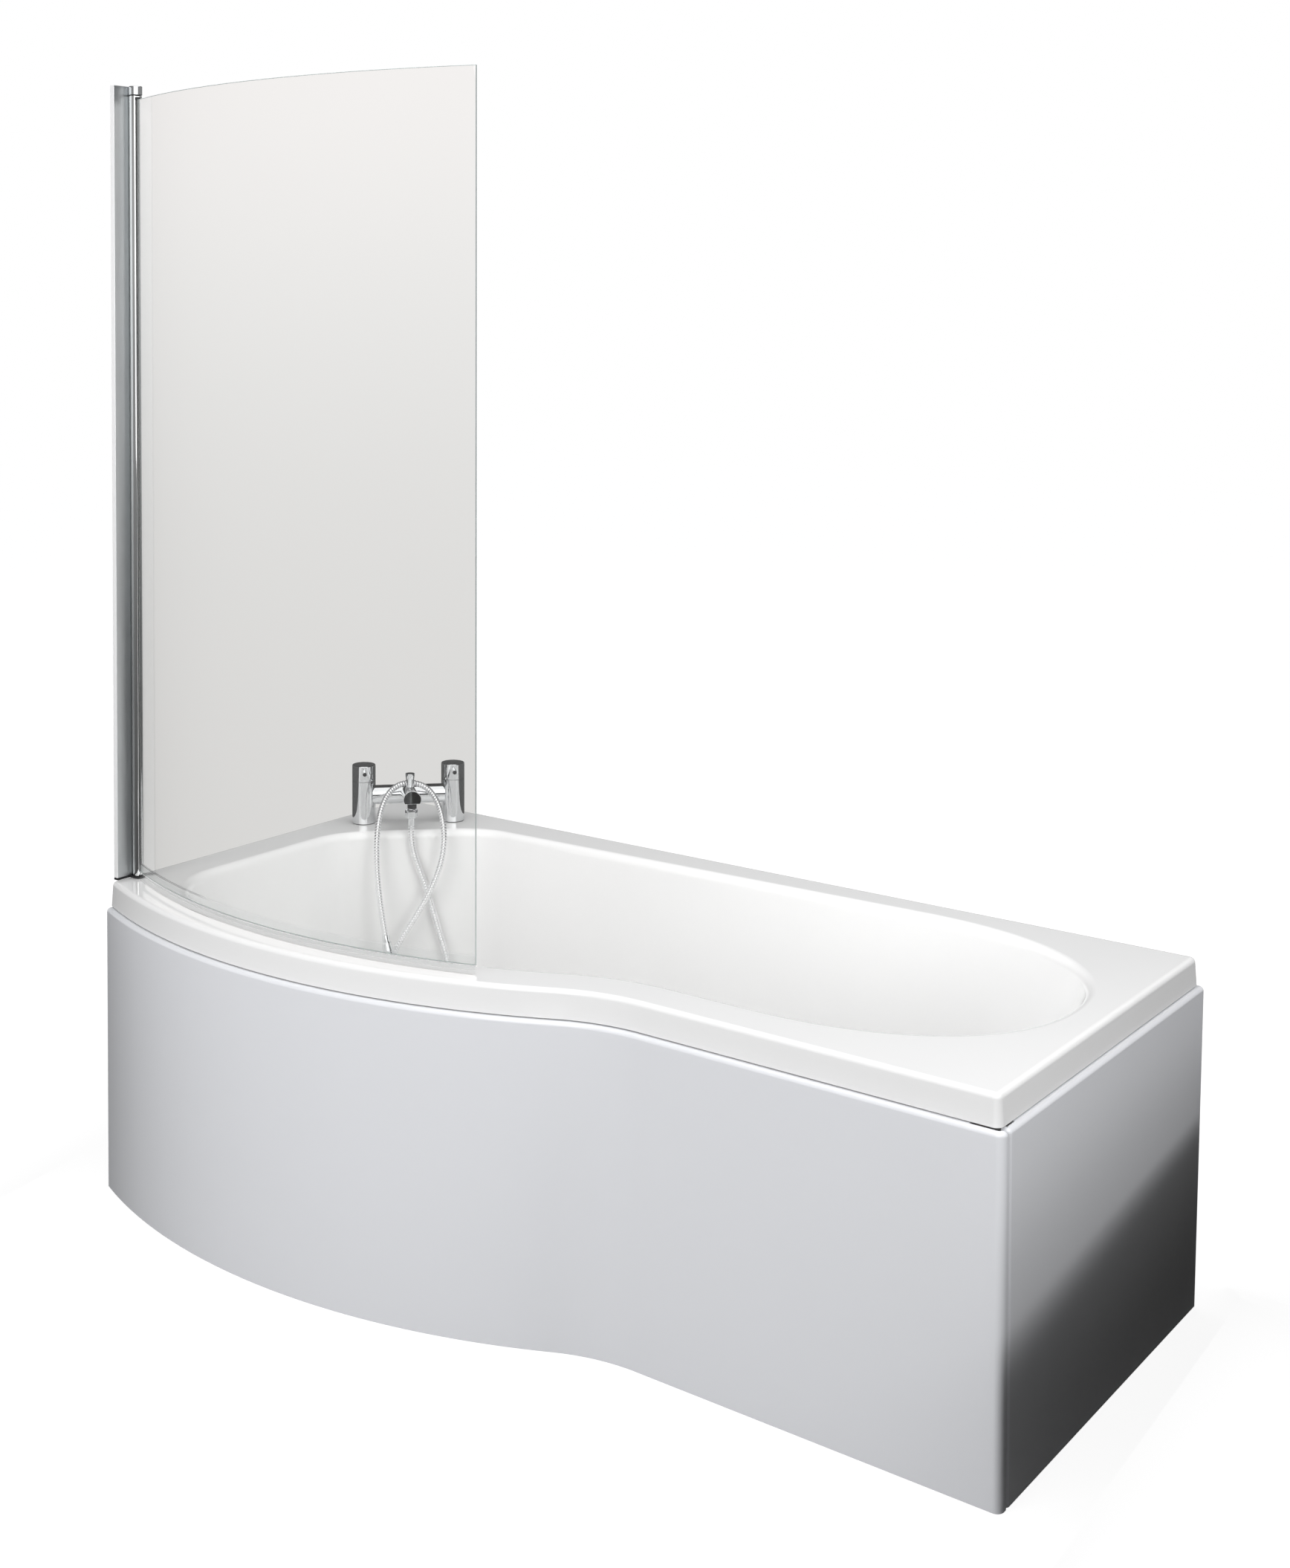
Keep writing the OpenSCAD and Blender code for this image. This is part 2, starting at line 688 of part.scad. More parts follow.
// Brackets that hook the rim's wall side down to the wall
module wall_brackets() {
    color(steel) place() {
        for (x = [0.35 * bath_len, 0.75 * bath_len]) translate([x, 0, lip_z]) rotate([0, 0, -90]) bracket();
        translate([0, -0.55 * bath_w, lip_z]) bracket();
    }
}

module bracket() {
    hook = shell_t + lip_draft + 1;
    difference() {
        union() {
            translate([0, -bracket_w / 2, -bracket_h]) cube([bracket_t, bracket_w, bracket_h - bed_gap]);
            translate([0, -bracket_w / 2, -bracket_t - bed_gap])
                cube([hook + bracket_t, bracket_w, bracket_t]);
            translate([hook, -bracket_w / 2, -bracket_t - bed_gap])
                cube([bracket_t, bracket_w, bracket_h / 3]);
        }
        translate([-1, 0, -0.58 * bracket_h]) rotate([0, 90, 0])
            cylinder(r = 2.5, h = bracket_t + 2, $fn = 24);
    }
}

// Section of a panel as a bent strip: x is 0 on its face and negative behind it
function panel_line(flange, foot, x, z, r, top) = concat(
    [[-foot, z], [x, z]],
    [for (a = [0:30:90]) [r * cos(a) - panel_roll, panel_z - panel_roll + r * sin(a)]],
    [[-flange, top]]
);

function panel_section(flange, foot) = concat(
    panel_line(flange, foot, 0, 0, panel_roll, panel_z),
    reversed(panel_line(flange, foot, -panel_t, panel_t, panel_roll - panel_t, panel_z - panel_t))
);

// Stations along the front panel's face: [point, outward angle, top flange, foot flange]
function face_stations() =
    let (
        big_r = bulge_r + panel_out,
        a0 = 180 + acos((bulge_x - 1) / big_r),
        rc = panel_corner_r,
        cc = [end_face - rc, -(panel_face - rc)],
        trim = panel_roll + 1
    )
    concat(
        [for (i = [0:22]) let (a = lerp(a0, join_deg, i / 22))
            [bulge_c + big_r * arm(a), a, top_flange, foot_flange]],
        [for (i = [1:7]) let (a = lerp(join_deg - 180, 90, i / 7))
            [blend_c + (blend_r - panel_out) * arm(a), a + 180, top_flange, foot_flange]],
        [[[bath_len - corner_clear, -panel_face], 270, top_flange, foot_flange],
         [[bath_len - corner_clear + 1, -panel_face], 270, trim, trim]],
        [for (i = [0:5]) let (a = lerp(270, 360, i / 5)) [cc + rc * arm(a), a, trim, trim]],
        [[[end_face, -(panel_face - panel_return)], 360, trim, trim]]
    );

// Front panel: one skin along the bulge, the hollow, the straight and round the corner
module front_panel() {
    rows = [
        for (s = face_stations())
            [for (p = panel_section(s[2], s[3])) concat(s[0] + p[0] * arm(s[1]), [p[1]])]
    ];
    color(panel_grey) place() difference() {
        skin(rows, strip = true);
        at_panel_screws() translate([0, 0, -20]) cylinder(r = screw_r + hole_fit, h = 40, $fn = 24);
    }
}

// End panel, scribed at the back to the wall and its skirting, with its front edge turned in
module end_panel() {
    front = panel_face - panel_return - panel_joint;
    turn_in = 2 * panel_roll;
    color(panel_grey) place() difference() {
        union() {
            translate([end_face, -1, 0]) rotate([90, 0, 0]) linear_extrude(front - 1)
                polygon(panel_section(top_flange, foot_flange));
            translate([end_face - turn_in, -front, 0])
                cube([turn_in - panel_roll, panel_t, panel_z - panel_t]);
            translate([end_face - panel_roll, -front, 0])
                cube([panel_roll - 1, panel_t, panel_z - panel_roll]);
        }
        translate([end_face - 2 * top_flange, 0, 0]) rotate([90, 0, 90]) linear_extrude(3 * top_flange)
            polygon([[1, -1], [-scribe, -1], [-scribe, 0], [-1, panel_z], [1, panel_z]]);
        at_panel_screws() translate([0, 0, -20]) cylinder(r = screw_r + hole_fit, h = 40, $fn = 24);
    }
}

// Underside of the panels' top flanges, where their screws pass up into the rim battens
module at_panel_screws() {
    translate([0, 0, panel_z - panel_t]) {
        for (a = [250, 262, 274, 286])
            translate([bulge_x + (bulge_r - screw_in) * cos(a), bulge_cy + (bulge_r - screw_in) * sin(a), 0])
                children();
        for (x = [blend_cx + 60, bath_len - 120]) translate([x, -(bath_w - screw_in), 0]) children();
        for (y = [0.25, 0.75]) translate([bath_len - screw_in, -bath_w * y, 0]) children();
    }
}

module panel_screws() {
    color(steel) place() at_panel_screws() translate([0, 0, -bed_gap]) pan_screw(panel_screw_l);
}

// Wall profile of the screen: hollow aluminium extrusion with two screw ports and wall fixing holes
module wall_profile() {
    front = hinge_y + profile_front;
    z0 = low_cap_z + low_cap_h + bed_gap;
    h = cap_z - bed_gap - z0;
    color(chrome) place() translate([0, -front, z0]) difference() {
        union() {
            linear_extrude(h) difference() {
                square([profile_d, profile_w]);
                translate([profile_t, profile_t])
                    square([profile_d - 2 * profile_t, profile_w - 2 * profile_t]);
            }
            linear_extrude(h) for (y = [port_in, profile_w - port_in])
                translate([profile_d / 2, y]) difference() {
                    square([profile_d - profile_t, port_in], center = true);
                    circle(r = 1.5, $fn = 24);
                }
        }
        for (z = [0.08, 0.5, 0.92]) translate([-1, profile_w / 2, h * z]) rotate([0, 90, 0])
            cylinder(r = 2.6, h = profile_d + 2, $fn = 24);
    }
}

// Plan of the caps: a round eye about the hinge axis with a tongue over the wall profile
module cap_plan(grow) {
    difference() {
        union() {
            circle(r = tube_r + grow, $fn = 64);
            translate([-hinge_x, -profile_front]) square([profile_d + 1, profile_w]);
            translate([-hinge_x, -tube_r]) square([hinge_x, 2 * tube_r]);
        }
        circle(r = pin_r, $fn = 48);
        at_cap_screws() circle(r = 1.4 + hole_fit, $fn = 24);
    }
}

module at_cap_screws() {
    for (y = [port_in, profile_w - port_in])
        translate([profile_d / 2 - hinge_x, y - profile_front, 0]) children();
}

module hinge_top_cap() {
    color(chrome) place() translate([hinge_x, -hinge_y, cap_z]) difference() {
        linear_extrude(cap_h) cap_plan(0.6);
        at_cap_screws() translate([0, 0, cap_h - screw_head]) cylinder(r = 3, h = screw_head + 1, $fn = 32);
    }
}

module hinge_bottom_cap() {
    color(dark) place() translate([hinge_x, -hinge_y, low_cap_z]) linear_extrude(low_cap_h) cap_plan(0);
}

// Steel pins, pressed in the caps, on which the screen turns
module hinge_pins() {
    color(steel) place() translate([hinge_x, -hinge_y, 0]) {
        translate([0, 0, low_cap_z]) cylinder(r = pin_r, h = low_cap_h + bush_l, $fn = 48);
        translate([0, 0, cap_z - bush_l]) cylinder(r = pin_r, h = bush_l + cap_h - 2, $fn = 48);
    }
}

module cap_screws() {
    below = 20;
    color(steel) place() translate([hinge_x, -hinge_y, cap_z - below]) at_cap_screws() {
        cylinder(r = 1.4, h = cap_h + below - bed_gap, $fn = 24);
        translate([0, 0, cap_h + below - screw_head + bed_gap])
            cylinder(r = 2.7, h = screw_head - 2 * bed_gap, $fn = 24);
    }
}

module glass_slot(w, r0, r1, h) {
    rotate([0, 0, glass_heading]) translate([r0, -w / 2, 0]) cube([r1 - r0, w, h]);
}

// Hinge tube: a round aluminium bar with a slot for the glass and a socket for a bush at each end
module hinge_tube() {
    color(chrome) at_screen() difference() {
        translate([0, 0, tube_z]) cylinder(r = tube_r, h = tube_top - tube_z, $fn = 96);
        translate([0, 0, tube_z - 1]) glass_slot(slot_w, slot_r, tube_r + 2, tube_top - tube_z + 2);
        for (z = [tube_z - 1, tube_top - bush_l])
            translate([0, 0, z]) cylinder(r = bush_r, h = bush_l + 1, $fn = 48);
    }
}

// Plastic bushes in the ends of the tube, with a thrust collar each
module hinge_bushes() {
    color(dark) at_screen() {
        for (z = [tube_z - 1, tube_top]) translate([0, 0, z]) tube(tube_r - 2, pin_r + run_fit, 1);
        for (z = [tube_z, tube_top - bush_l + 1])
            translate([0, 0, z]) tube(bush_r, pin_r + run_fit, bush_l - 1);
    }
}

// A stretch along the curve of the glass, from a section with x across the glass and y up
module along_glass(a0, a1) {
    translate([glass_w / 2, glass_rise, 0])
        rotate_extrude(start = a0, angle = a1 - a0, $fn = 360) translate([glass_r, 0]) children();
}

module screen_glass() {
    color(clear) at_screen() translate([0, 0, glass_z])
        along_glass(glass_a0 + glass_start_deg, glass_a1)
            translate([-glass_t / 2, 0]) square([glass_t, glass_h]);
}

// Clear gasket that grips the glass in the tube's slot
module glass_gasket() {
    color(clear) at_screen() translate([0, 0, glass_z]) difference() {
        glass_slot(slot_w - 0.1, slot_r + 0.1, gasket_out, glass_h);
        translate([0, 0, -1]) glass_slot(glass_t + 0.5, slot_r + 1.1, gasket_out + 1, glass_h + 2);
    }
}

module gasket_cap() {
    color(dark) at_screen() translate([0, 0, glass_top + bed_gap])
        glass_slot(slot_w - 0.1, slot_r + 0.1, gasket_out, 5);
}

// Clear seal along the foot of the glass: a channel above and a lip below that clears the rim
module bottom_seal() {
    wall = 1;
    half = glass_t / 2 + 0.1;
    gap_deg = (gasket_out + 0.5) / glass_r * 180 / PI;
    color(clear) at_screen() translate([0, 0, glass_z]) along_glass(glass_a0 + gap_deg, glass_a1) {
        difference() {
            translate([-half - wall, -wall - bed_gap])
                square([2 * (half + wall), seal_grip + wall + bed_gap]);
            translate([-half, -bed_gap]) square([2 * half, seal_grip + 1]);
        }
        translate([half, -seal_drop]) square([wall, seal_drop]);
        translate([-half - wall, -seal_drop + 4]) square([wall, seal_drop - 4]);
    }
}

module at_spout(d) {
    translate([0, 0, bridge_z]) rotate([90 - spout_rise, 0, 0]) translate([0, 0, d]) children();
}

// Mixer body: two pillars, the bridge and the D-section spout, cored for the headworks and diverter
module mixer_body() {
    color(chrome) at_mixer() difference() {
        union() {
            at_pillars() translate([0, 0, washer_t])
                cylinder(r = pillar_r, h = pillar_h - washer_t, $fn = 96);
            translate([-tap_pitch / 2, 0, bridge_z]) rotate([0, 90, 0])
                cylinder(r = bridge_r, h = tap_pitch, $fn = 96);
            at_spout(0) linear_extrude(spout_l) intersection() {
                circle(r = spout_r, $fn = 96);
                translate([-spout_r - 1, -spout_floor]) square([2 * spout_r + 2, spout_floor + spout_r + 1]);
            }
            translate([0, -aerator_d, aerator_z + 3]) cylinder(r = aerator_r, h = 14, $fn = 64);
        }
        at_pillars() {
            translate([0, 0, pillar_h - headwork_h]) cylinder(r = headwork_r, h = headwork_h + 6, $fn = 64);
            translate([0, 0, -1]) cylinder(r = tail_bore, h = pillar_h, $fn = 48);
        }
        translate([0, -aerator_d, aerator_z]) cylinder(r = aerator_r - 1.5, h = 9, $fn = 64);
        translate([0, -outlet_d, bridge_z - 5]) cylinder(r = nipple_r, h = 16, $fn = 64);
        translate([0, -knob_d, bridge_z - 4]) cylinder(r = rod_thick + run_fit, h = 40, $fn = 48);
    }
}

// Handle: a round cap on the pillar, with a slight break round its top
module handle(side) {
    e = 1.2;
    color(chrome) at_mixer() translate([side * tap_pitch / 2, 0, pillar_h + move_gap]) difference() {
        rotate_extrude($fn = 96) polygon([
            [0, 0], [pillar_r, 0], [pillar_r, handle_h - move_gap - e],
            [pillar_r - e, handle_h - move_gap], [0, handle_h - move_gap]
        ]);
        translate([0, 0, -1]) cylinder(r = spindle_r, h = 20, $fn = 48);
        translate([0, -pillar_r + 10, lever_z - pillar_h - move_gap]) rotate([90, 0, 0])
            cylinder(r = lever_r, h = 20, $fn = 48);
    }
}

module hot_handle() {
    handle(-1);
}

module cold_handle() {
    handle(1);
}

// Lever pin, pressed into the handle
module lever(side) {
    color(chrome) at_mixer() translate([side * tap_pitch / 2, -pillar_r + 10, lever_z]) rotate([90, 0, 0]) {
        cylinder(r = lever_r, h = 10 + lever_l - 1, $fn = 48);
        translate([0, 0, 9 + lever_l]) cylinder(r1 = lever_r, r2 = lever_r - 0.8, h = 1, $fn = 48);
    }
}

module hot_pin() {
    lever(-1);
}

module cold_pin() {
    lever(1);
}

// Spindle that turns in the headwork and carries the handle
module spindle(side) {
    color(steel) at_mixer() translate([side * tap_pitch / 2, 0, pillar_h - 15])
        cylinder(r = spindle_r, h = 15 + move_gap + 18, $fn = 48);
}

module hot_spindle() {
    spindle(-1);
}

module cold_spindle() {
    spindle(1);
}

// Ceramic headworks, one in the top of each pillar
module headworks() {
    color("tan") at_mixer() at_pillars() translate([0, 0, pillar_h - headwork_h]) difference() {
        cylinder(r = headwork_r, h = headwork_h - move_gap, $fn = 64);
        translate([0, 0, headwork_h - 16]) cylinder(r = spindle_r + run_fit, h = 20, $fn = 48);
        translate([0, 0, -1]) cylinder(r = 7, h = 12, $fn = 48);
    }
}

// Diverter knob, wider at its top, over the hose's arch
module diverter_knob() {
    color(chrome) at_mixer() translate([0, -knob_d, knob_z + 0.5]) difference() {
        rotate_extrude($fn = 64) polygon([
            [0, 0], [knob_foot, 0], [knob_foot + 0.6, knob_h - 11], [1.6 * knob_foot, knob_h - 5],
            [1.6 * knob_foot, knob_h - 1], [1.6 * knob_foot - 1, knob_h], [0, knob_h]
        ]);
        translate([0, 0, -1]) cylinder(r = rod_thick, h = 13, $fn = 48);
    }
}

module diverter_rod() {
    low = bridge_z + 6;
    color(steel) at_mixer() translate([0, -knob_d, low])
        cylinder(r = rod_thick, h = knob_z + 12.5 - low, $fn = 48);
}

module aerator() {
    color(dark) at_mixer() translate([0, -aerator_d, aerator_z]) tube(aerator_r - 1.5, 6, 9);
}

// Threaded outlet under the spout that takes the hose
module outlet_nipple() {
    low = nut_z + 4;
    color(chrome) at_mixer() translate([0, -outlet_d, low]) tube(nipple_r, 5, bridge_z + 11 - low);
}

// Threaded tails, with a relief groove where the thread of the supply starts
module tap_tails() {
    groove = 2;
    color("goldenrod") at_mixer() at_pillars() difference() {
        translate([0, 0, -tail_l]) tube(tail_r, tail_bore, tail_l + washer_t);
        translate([0, 0, backnut_z - 2 * groove]) tube(tail_r + 1, tail_r - 1.5, groove);
    }
}

module tap_backnuts() {
    color("goldenrod") at_mixer() at_pillars() translate([0, 0, backnut_z])
        hex_nut(2.7 * tail_r, tail_r, backnut_h);
}

// Rubber washers above and below the deck
module tap_washers() {
    color(dark) at_mixer() at_pillars()
        for (z = [0, -shell_t - bed_gap - washer_t])
            translate([0, 0, z]) tube(pillar_r - 1, tail_r, washer_t);
}

module hose_nut() {
    color(chrome) at_mixer() translate([0, -outlet_d, nut_z]) hex_nut(nut_af, nipple_r, nut_h);
}

// Ferrule between the nut and the hose, with a flange inside the nut
module upper_ferrule() {
    color(chrome) at_mixer() translate(hose_start) {
        tube(hose_r + 1, hose_bore, nut_z - hose_start[2]);
        translate([0, 0, nut_z - hose_start[2]]) tube(nipple_r, hose_bore, 3.8);
    }
}

// Path of the hose: a smooth curve drawn by the route's points, straight and square at both ends
function to_mixer(p) = [p[0], -p[1], p[2]];
function spline(a, b, c, d, t) =
    (pow(1 - t, 3) * a + (3 * t * t * t - 6 * t * t + 4) * b
    + (-3 * t * t * t + 3 * t * t + 3 * t + 1) * c + t * t * t * d) / 6;
hose_n = len(hose_route);
hose_guide = [
    for (p = concat([2 * hose_route[0] - hose_route[1]], hose_route,
                    [2 * hose_route[hose_n - 1] - hose_route[hose_n - 2]]))
        to_mixer(p)
];
hose_start = hose_guide[1];
hose_end = hose_guide[hose_n];
hose_end_dir = unit(hose_guide[hose_n] - hose_guide[hose_n - 1]);
hose_fine = concat(
    [
        for (i = [0:hose_n - 2], k = [0:fine_steps - 1])
            spline(hose_guide[i], hose_guide[i + 1], hose_guide[i + 2], hose_guide[i + 3], k / fine_steps)
    ],
    [hose_end]
);
hose_cum = [
    for (i = 0, s = 0; i < len(hose_fine);
         s = s + (i + 1 < len(hose_fine) ? norm(hose_fine[i + 1] - hose_fine[i]) : 0), i = i + 1)
        s
];
hose_l = hose_cum[len(hose_cum) - 1];
hose_tables = [for (a = [0:2]) [for (i = [0:len(hose_fine) - 1]) [hose_cum[i], hose_fine[i][a]]]];
function hose_at(s) = [for (a = [0:2]) lookup(s, hose_tables[a])];
function hose_dir(s) = unit(hose_at(min(s + 2, hose_l)) - hose_at(max(s - 2, 0)));
function hose_ring(s, r) =
    let (
        c = hose_at(s),
        t = hose_dir(s),
        u = unit(cross([0, 1, 0], t)),
        v = cross(t, u)
    )
    [for (k = [0:7]) c + r * (cos(45 * k) * u + sin(45 * k) * v)];

// Ribbed metal hose with its bore
module shower_hose() {
    pitch = hose_l / ribs;
    outer = [
        for (k = [0:ribs], half = [0, 1])
            if (k < ribs || half == 0) hose_ring((k + half / 2) * pitch, hose_r - rib_h * (1 - half))
    ];
    bore = [for (k = [ribs:-2:0]) hose_ring(k * pitch, hose_bore)];
    gaps = [
        for (i = [0:4:len(hose_fine) - 1], j = [0:4:len(hose_fine) - 1])
            if (hose_cum[j] - hose_cum[i] > 60) norm(hose_fine[i] - hose_fine[j]) - 2 * hose_r
    ];
    echo(hose_length = hose_l, least_gap_to_itself = min(gaps));
    color(chrome) at_mixer() skin(concat(outer, bore), loop = true);
}

// Frame at the far end of the hose, Z along the handset
module at_handset() {
    at_mixer() translate(hose_end)
        rotate([0, acos(hose_end_dir[2]), atan2(hose_end_dir[1], hose_end_dir[0])]) children();
}

module lower_ferrule() {
    color(chrome) at_handset() tube(hose_r + 1, hose_bore, ferrule_l);
}

module handset_cone_nut() {
    color(chrome) at_handset() translate([0, 0, ferrule_l]) difference() {
        cylinder(r1 = hose_r + 2, r2 = 11.5, h = cone_l, $fn = 48);
        translate([0, 0, -1]) cylinder(r = hose_bore, h = cone_l + 2, $fn = 48);
    }
}

// Handset: tapered handle and a round head that leans forward
module at_head() {
    translate([0, 0, ferrule_l + cone_l + handset_l - head_r]) rotate([0, 75, 0]) children();
}

module handset_body() {
    z0 = ferrule_l + cone_l;
    color(chrome) at_handset() union() {
        translate([0, 0, z0]) cylinder(r1 = 11.5, r2 = 13, h = 0.5 * handset_l, $fn = 64);
        translate([0, 0, z0 + 0.5 * handset_l])
            cylinder(r1 = 13, r2 = 7.5, h = 0.5 * handset_l - head_r, $fn = 64);
        at_head() translate([0, 0, -6]) cylinder(r1 = 0.7 * head_r, r2 = head_r, h = 14, $fn = 96);
    }
}

module handset_faceplate() {
    color(panel_grey) at_handset() at_head() translate([0, 0, 8 + bed_gap]) difference() {
        cylinder(r = head_r - 3, h = 2.5, $fn = 96);
        for (a = [0:45:315]) rotate([0, 0, a]) translate([0.5 * head_r, 0, 1])
            cylinder(r = 1.2, h = 3, $fn = 16);
    }
}

module at_waste() {
    place() translate([waste_x, waste_y, floor_z]) children();
}

module waste_flange() {
    color(chrome) at_waste() difference() {
        rotate_extrude($fn = 96) polygon([
            [0, bed_gap], [flange_r, bed_gap], [flange_r, 1], [flange_r - 4, 2.5], [0, 2.5]
        ]);
        cylinder(r = waste_body_r, h = 10, center = true, $fn = 64);
    }
}

// Waste frame turned so that -Y points at the overflow's elbow
module to_elbow() {
    rotate([0, 0, atan2(elbow_run[1], elbow_run[0]) + 90]) children();
}

// Waste body: a plain barrel through the floor with a thread at its foot, a port for the overflow
// hose and a guide for the plug's stem
module waste_body() {
    color(chrome) at_waste() {
        difference() {
            union() {
                translate([0, 0, -waste_h]) cylinder(r = outlet_r, h = waste_h, $fn = 64);
                translate([0, 0, outlet_l - waste_h])
                    cylinder(r = waste_body_r, h = waste_h - outlet_l + 2.5, $fn = 64);
                to_elbow() translate([0, 0, -waste_port]) rotate([90, 0, 0])
                    cylinder(r = pipe_r - pipe_t - bed_gap, h = waste_body_r + port_l, $fn = 48);
            }
            translate([0, 0, -waste_h - 1]) cylinder(r = outlet_r - 3, h = waste_h + 5, $fn = 64);
            to_elbow() translate([0, 0, -waste_port]) rotate([90, 0, 0])
                cylinder(r = pipe_r - 2 * pipe_t, h = waste_body_r + port_l + 1, $fn = 48);
        }
        translate([0, 0, -30]) difference() {
            union() {
                cylinder(r = 6, h = 12, $fn = 48);
                for (a = [0, 90]) rotate([0, 0, a]) translate([-outlet_r + 2, -1.5, 0])
                    cube([2 * outlet_r - 4, 3, 5]);
            }
            translate([0, 0, -1]) cylinder(r = 3 + run_fit, h = 20, $fn = 48);
        }
    }
}

module waste_nut() {
    color(dark) at_waste() translate([0, 0, -shell_t - bed_gap - 2.5 - backnut_h])
        hex_nut(2.9 * waste_body_r, waste_body_r, backnut_h);
}

module waste_washer() {
    color(dark) at_waste() translate([0, 0, -shell_t - bed_gap - 2.5]) tube(flange_r - 1, waste_body_r, 2.5);
}

// Sprung plug: a dished cap on a stem
module waste_plug() {
    color(chrome) at_waste() {
        translate([0, 0, 3.2]) rotate_extrude($fn = 96) polygon([
            [0, 0], [outlet_r - 1, 0], [outlet_r, 1.5], [outlet_r - 3, 4], [0, 5]
        ]);
        translate([0, 0, -32]) cylinder(r = 3, h = 36, $fn = 48);
    }
}

module plug_seal() {
    color(dark) at_waste() translate([0, 0, 0.7]) tube(outlet_r - 3 - move_gap, 3, 2.5);
}

// Overflow frame: centre of its hole in the front wall, Z square to the wall and out of the basin
module overflow_axis() {
    translate([overflow_at[0][0], overflow_at[0][1], overflow_z])
        rotate([0, 0, overflow_at[1] - 270]) rotate([90 + wall_draft, 0, 0]) children();
}

module overflow_rose() {
    color(chrome) place() overflow_axis() translate([0, 0, -6]) difference() {
        rotate_extrude($fn = 96) polygon([[0, 0], [26, 0], [30, 2], [30, 5.5], [0, 5.5]]);
        for (a = [0:60:300]) rotate([0, 0, a]) translate([15, 0, -1]) cylinder(r = 3.5, h = 10, $fn = 32);
    }
}

// Elbow behind the wall that leads down to the overflow hose
module overflow_elbow() {
    color(dark) place() overflow_axis() translate([0, 0, shell_t + bed_gap + elbow_lift]) difference() {
        union() {
            cylinder(r = elbow_r, h = 4, $fn = 64);
            cylinder(r = overflow_r - 2, h = 24, $fn = 64);
            translate([0, 0, 12]) rotate([90, 0, 0]) cylinder(r = pipe_r + 1, h = overflow_r + 12, $fn = 64);
        }
        translate([0, 0, -1]) cylinder(r = overflow_r - 5, h = 20, $fn = 64);
        translate([0, 0, 12]) rotate([90, 0, 0]) cylinder(r = pipe_r - 2, h = overflow_r + 13, $fn = 64);
    }
}

// Overflow hose: down behind the front wall, then under the floor to the waste
module overflow_pipe() {
    top = overflow_z - floor_z - overflow_r - 14;
    out = -norm(elbow_run);
    color(dark) at_waste() to_elbow() {
        translate([0, out, pipe_bend - waste_port])
            tube(pipe_r, pipe_r - pipe_t, top + waste_port - pipe_bend);
        translate([0, out + pipe_bend, pipe_bend - waste_port]) rotate([0, 90, 0])
            rotate_extrude(start = 270, angle = 90, $fn = 96) translate([pipe_bend, 0]) difference() {
                circle(r = pipe_r, $fn = 48);
                circle(r = pipe_r - pipe_t, $fn = 48);
            }
        translate([0, out + pipe_bend, -waste_port]) rotate([-90, 0, 0])
            tube(pipe_r, pipe_r - pipe_t, -out - pipe_bend - waste_body_r - 1);
    }
}

bath_shell();
baseboard();
rim_battens();
cradle_rail_shower();
cradle_rail_foot();
foot_rods();
foot_nuts();
foot_pads();
rail_screws();
wall_brackets();
front_panel();
end_panel();
floor_battens();
panel_screws();
wall_profile();
hinge_top_cap();
hinge_bottom_cap();
hinge_pins();
cap_screws();
hinge_tube();
hinge_bushes();
screen_glass();
glass_gasket();
gasket_cap();
bottom_seal();
mixer_body();
hot_handle();
cold_handle();
hot_pin();
cold_pin();
hot_spindle();
cold_spindle();
headworks();
diverter_knob();
diverter_rod();
aerator();
outlet_nipple();
tap_tails();
tap_backnuts();
tap_washers();
hose_nut();
upper_ferrule();
shower_hose();
lower_ferrule();
handset_cone_nut();
handset_body();
handset_faceplate();
waste_flange();
waste_body();
waste_nut();
waste_washer();
waste_plug();
plug_seal();
overflow_rose();
overflow_elbow();
overflow_pipe();
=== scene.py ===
# %% [markdown]
# # A shower bath, from the frame to the finished picture
#
# The object is a shower bath whose plan bulges at the shower end. A curved glass screen swings on
# a tube at the wall, a mixer sits across the corner, and a ribbed hose leads from it to a handset.
# A fixed frame of solids is loaded first. It holds every size and joint, and nothing here moves
# it. Each visible piece is then modelled again more finely around its solid, and gets a finish
# made of nodes. Lengths are written in millimetres, as a maker would give them.

# %% Load the frame
import json
from math import acos, atan2, cos, degrees, pi, radians, sin, sqrt, tan

import bmesh
import bpy
from mathutils import Matrix, Vector


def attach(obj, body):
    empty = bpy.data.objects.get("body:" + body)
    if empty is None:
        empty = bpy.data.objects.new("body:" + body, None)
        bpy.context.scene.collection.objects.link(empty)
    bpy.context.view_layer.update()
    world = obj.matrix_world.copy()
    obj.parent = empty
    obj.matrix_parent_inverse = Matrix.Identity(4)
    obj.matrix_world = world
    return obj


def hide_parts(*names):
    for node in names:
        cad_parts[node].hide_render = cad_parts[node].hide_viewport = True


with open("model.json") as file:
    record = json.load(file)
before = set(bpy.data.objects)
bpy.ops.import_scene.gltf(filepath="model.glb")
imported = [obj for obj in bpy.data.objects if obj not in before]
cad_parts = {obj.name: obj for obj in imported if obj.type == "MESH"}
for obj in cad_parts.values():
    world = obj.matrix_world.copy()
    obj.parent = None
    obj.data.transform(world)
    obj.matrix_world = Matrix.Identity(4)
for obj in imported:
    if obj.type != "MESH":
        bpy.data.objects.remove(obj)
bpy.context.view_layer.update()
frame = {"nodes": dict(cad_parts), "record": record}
subparts = frame["record"]["subparts"]
scene = bpy.context.scene
scene.view_settings.view_transform = "Standard"
MM = 0.001
print("nodes in the frame:", len(frame["nodes"]))

# %% [markdown]
# ## The camera
#
# A product photograph is taken level and from standing height, and the print is then cropped. The
# crop moves the middle of the lens away from the middle of the picture. A camera shift does the
# same, and it keeps upright edges upright, which turning the camera would not.

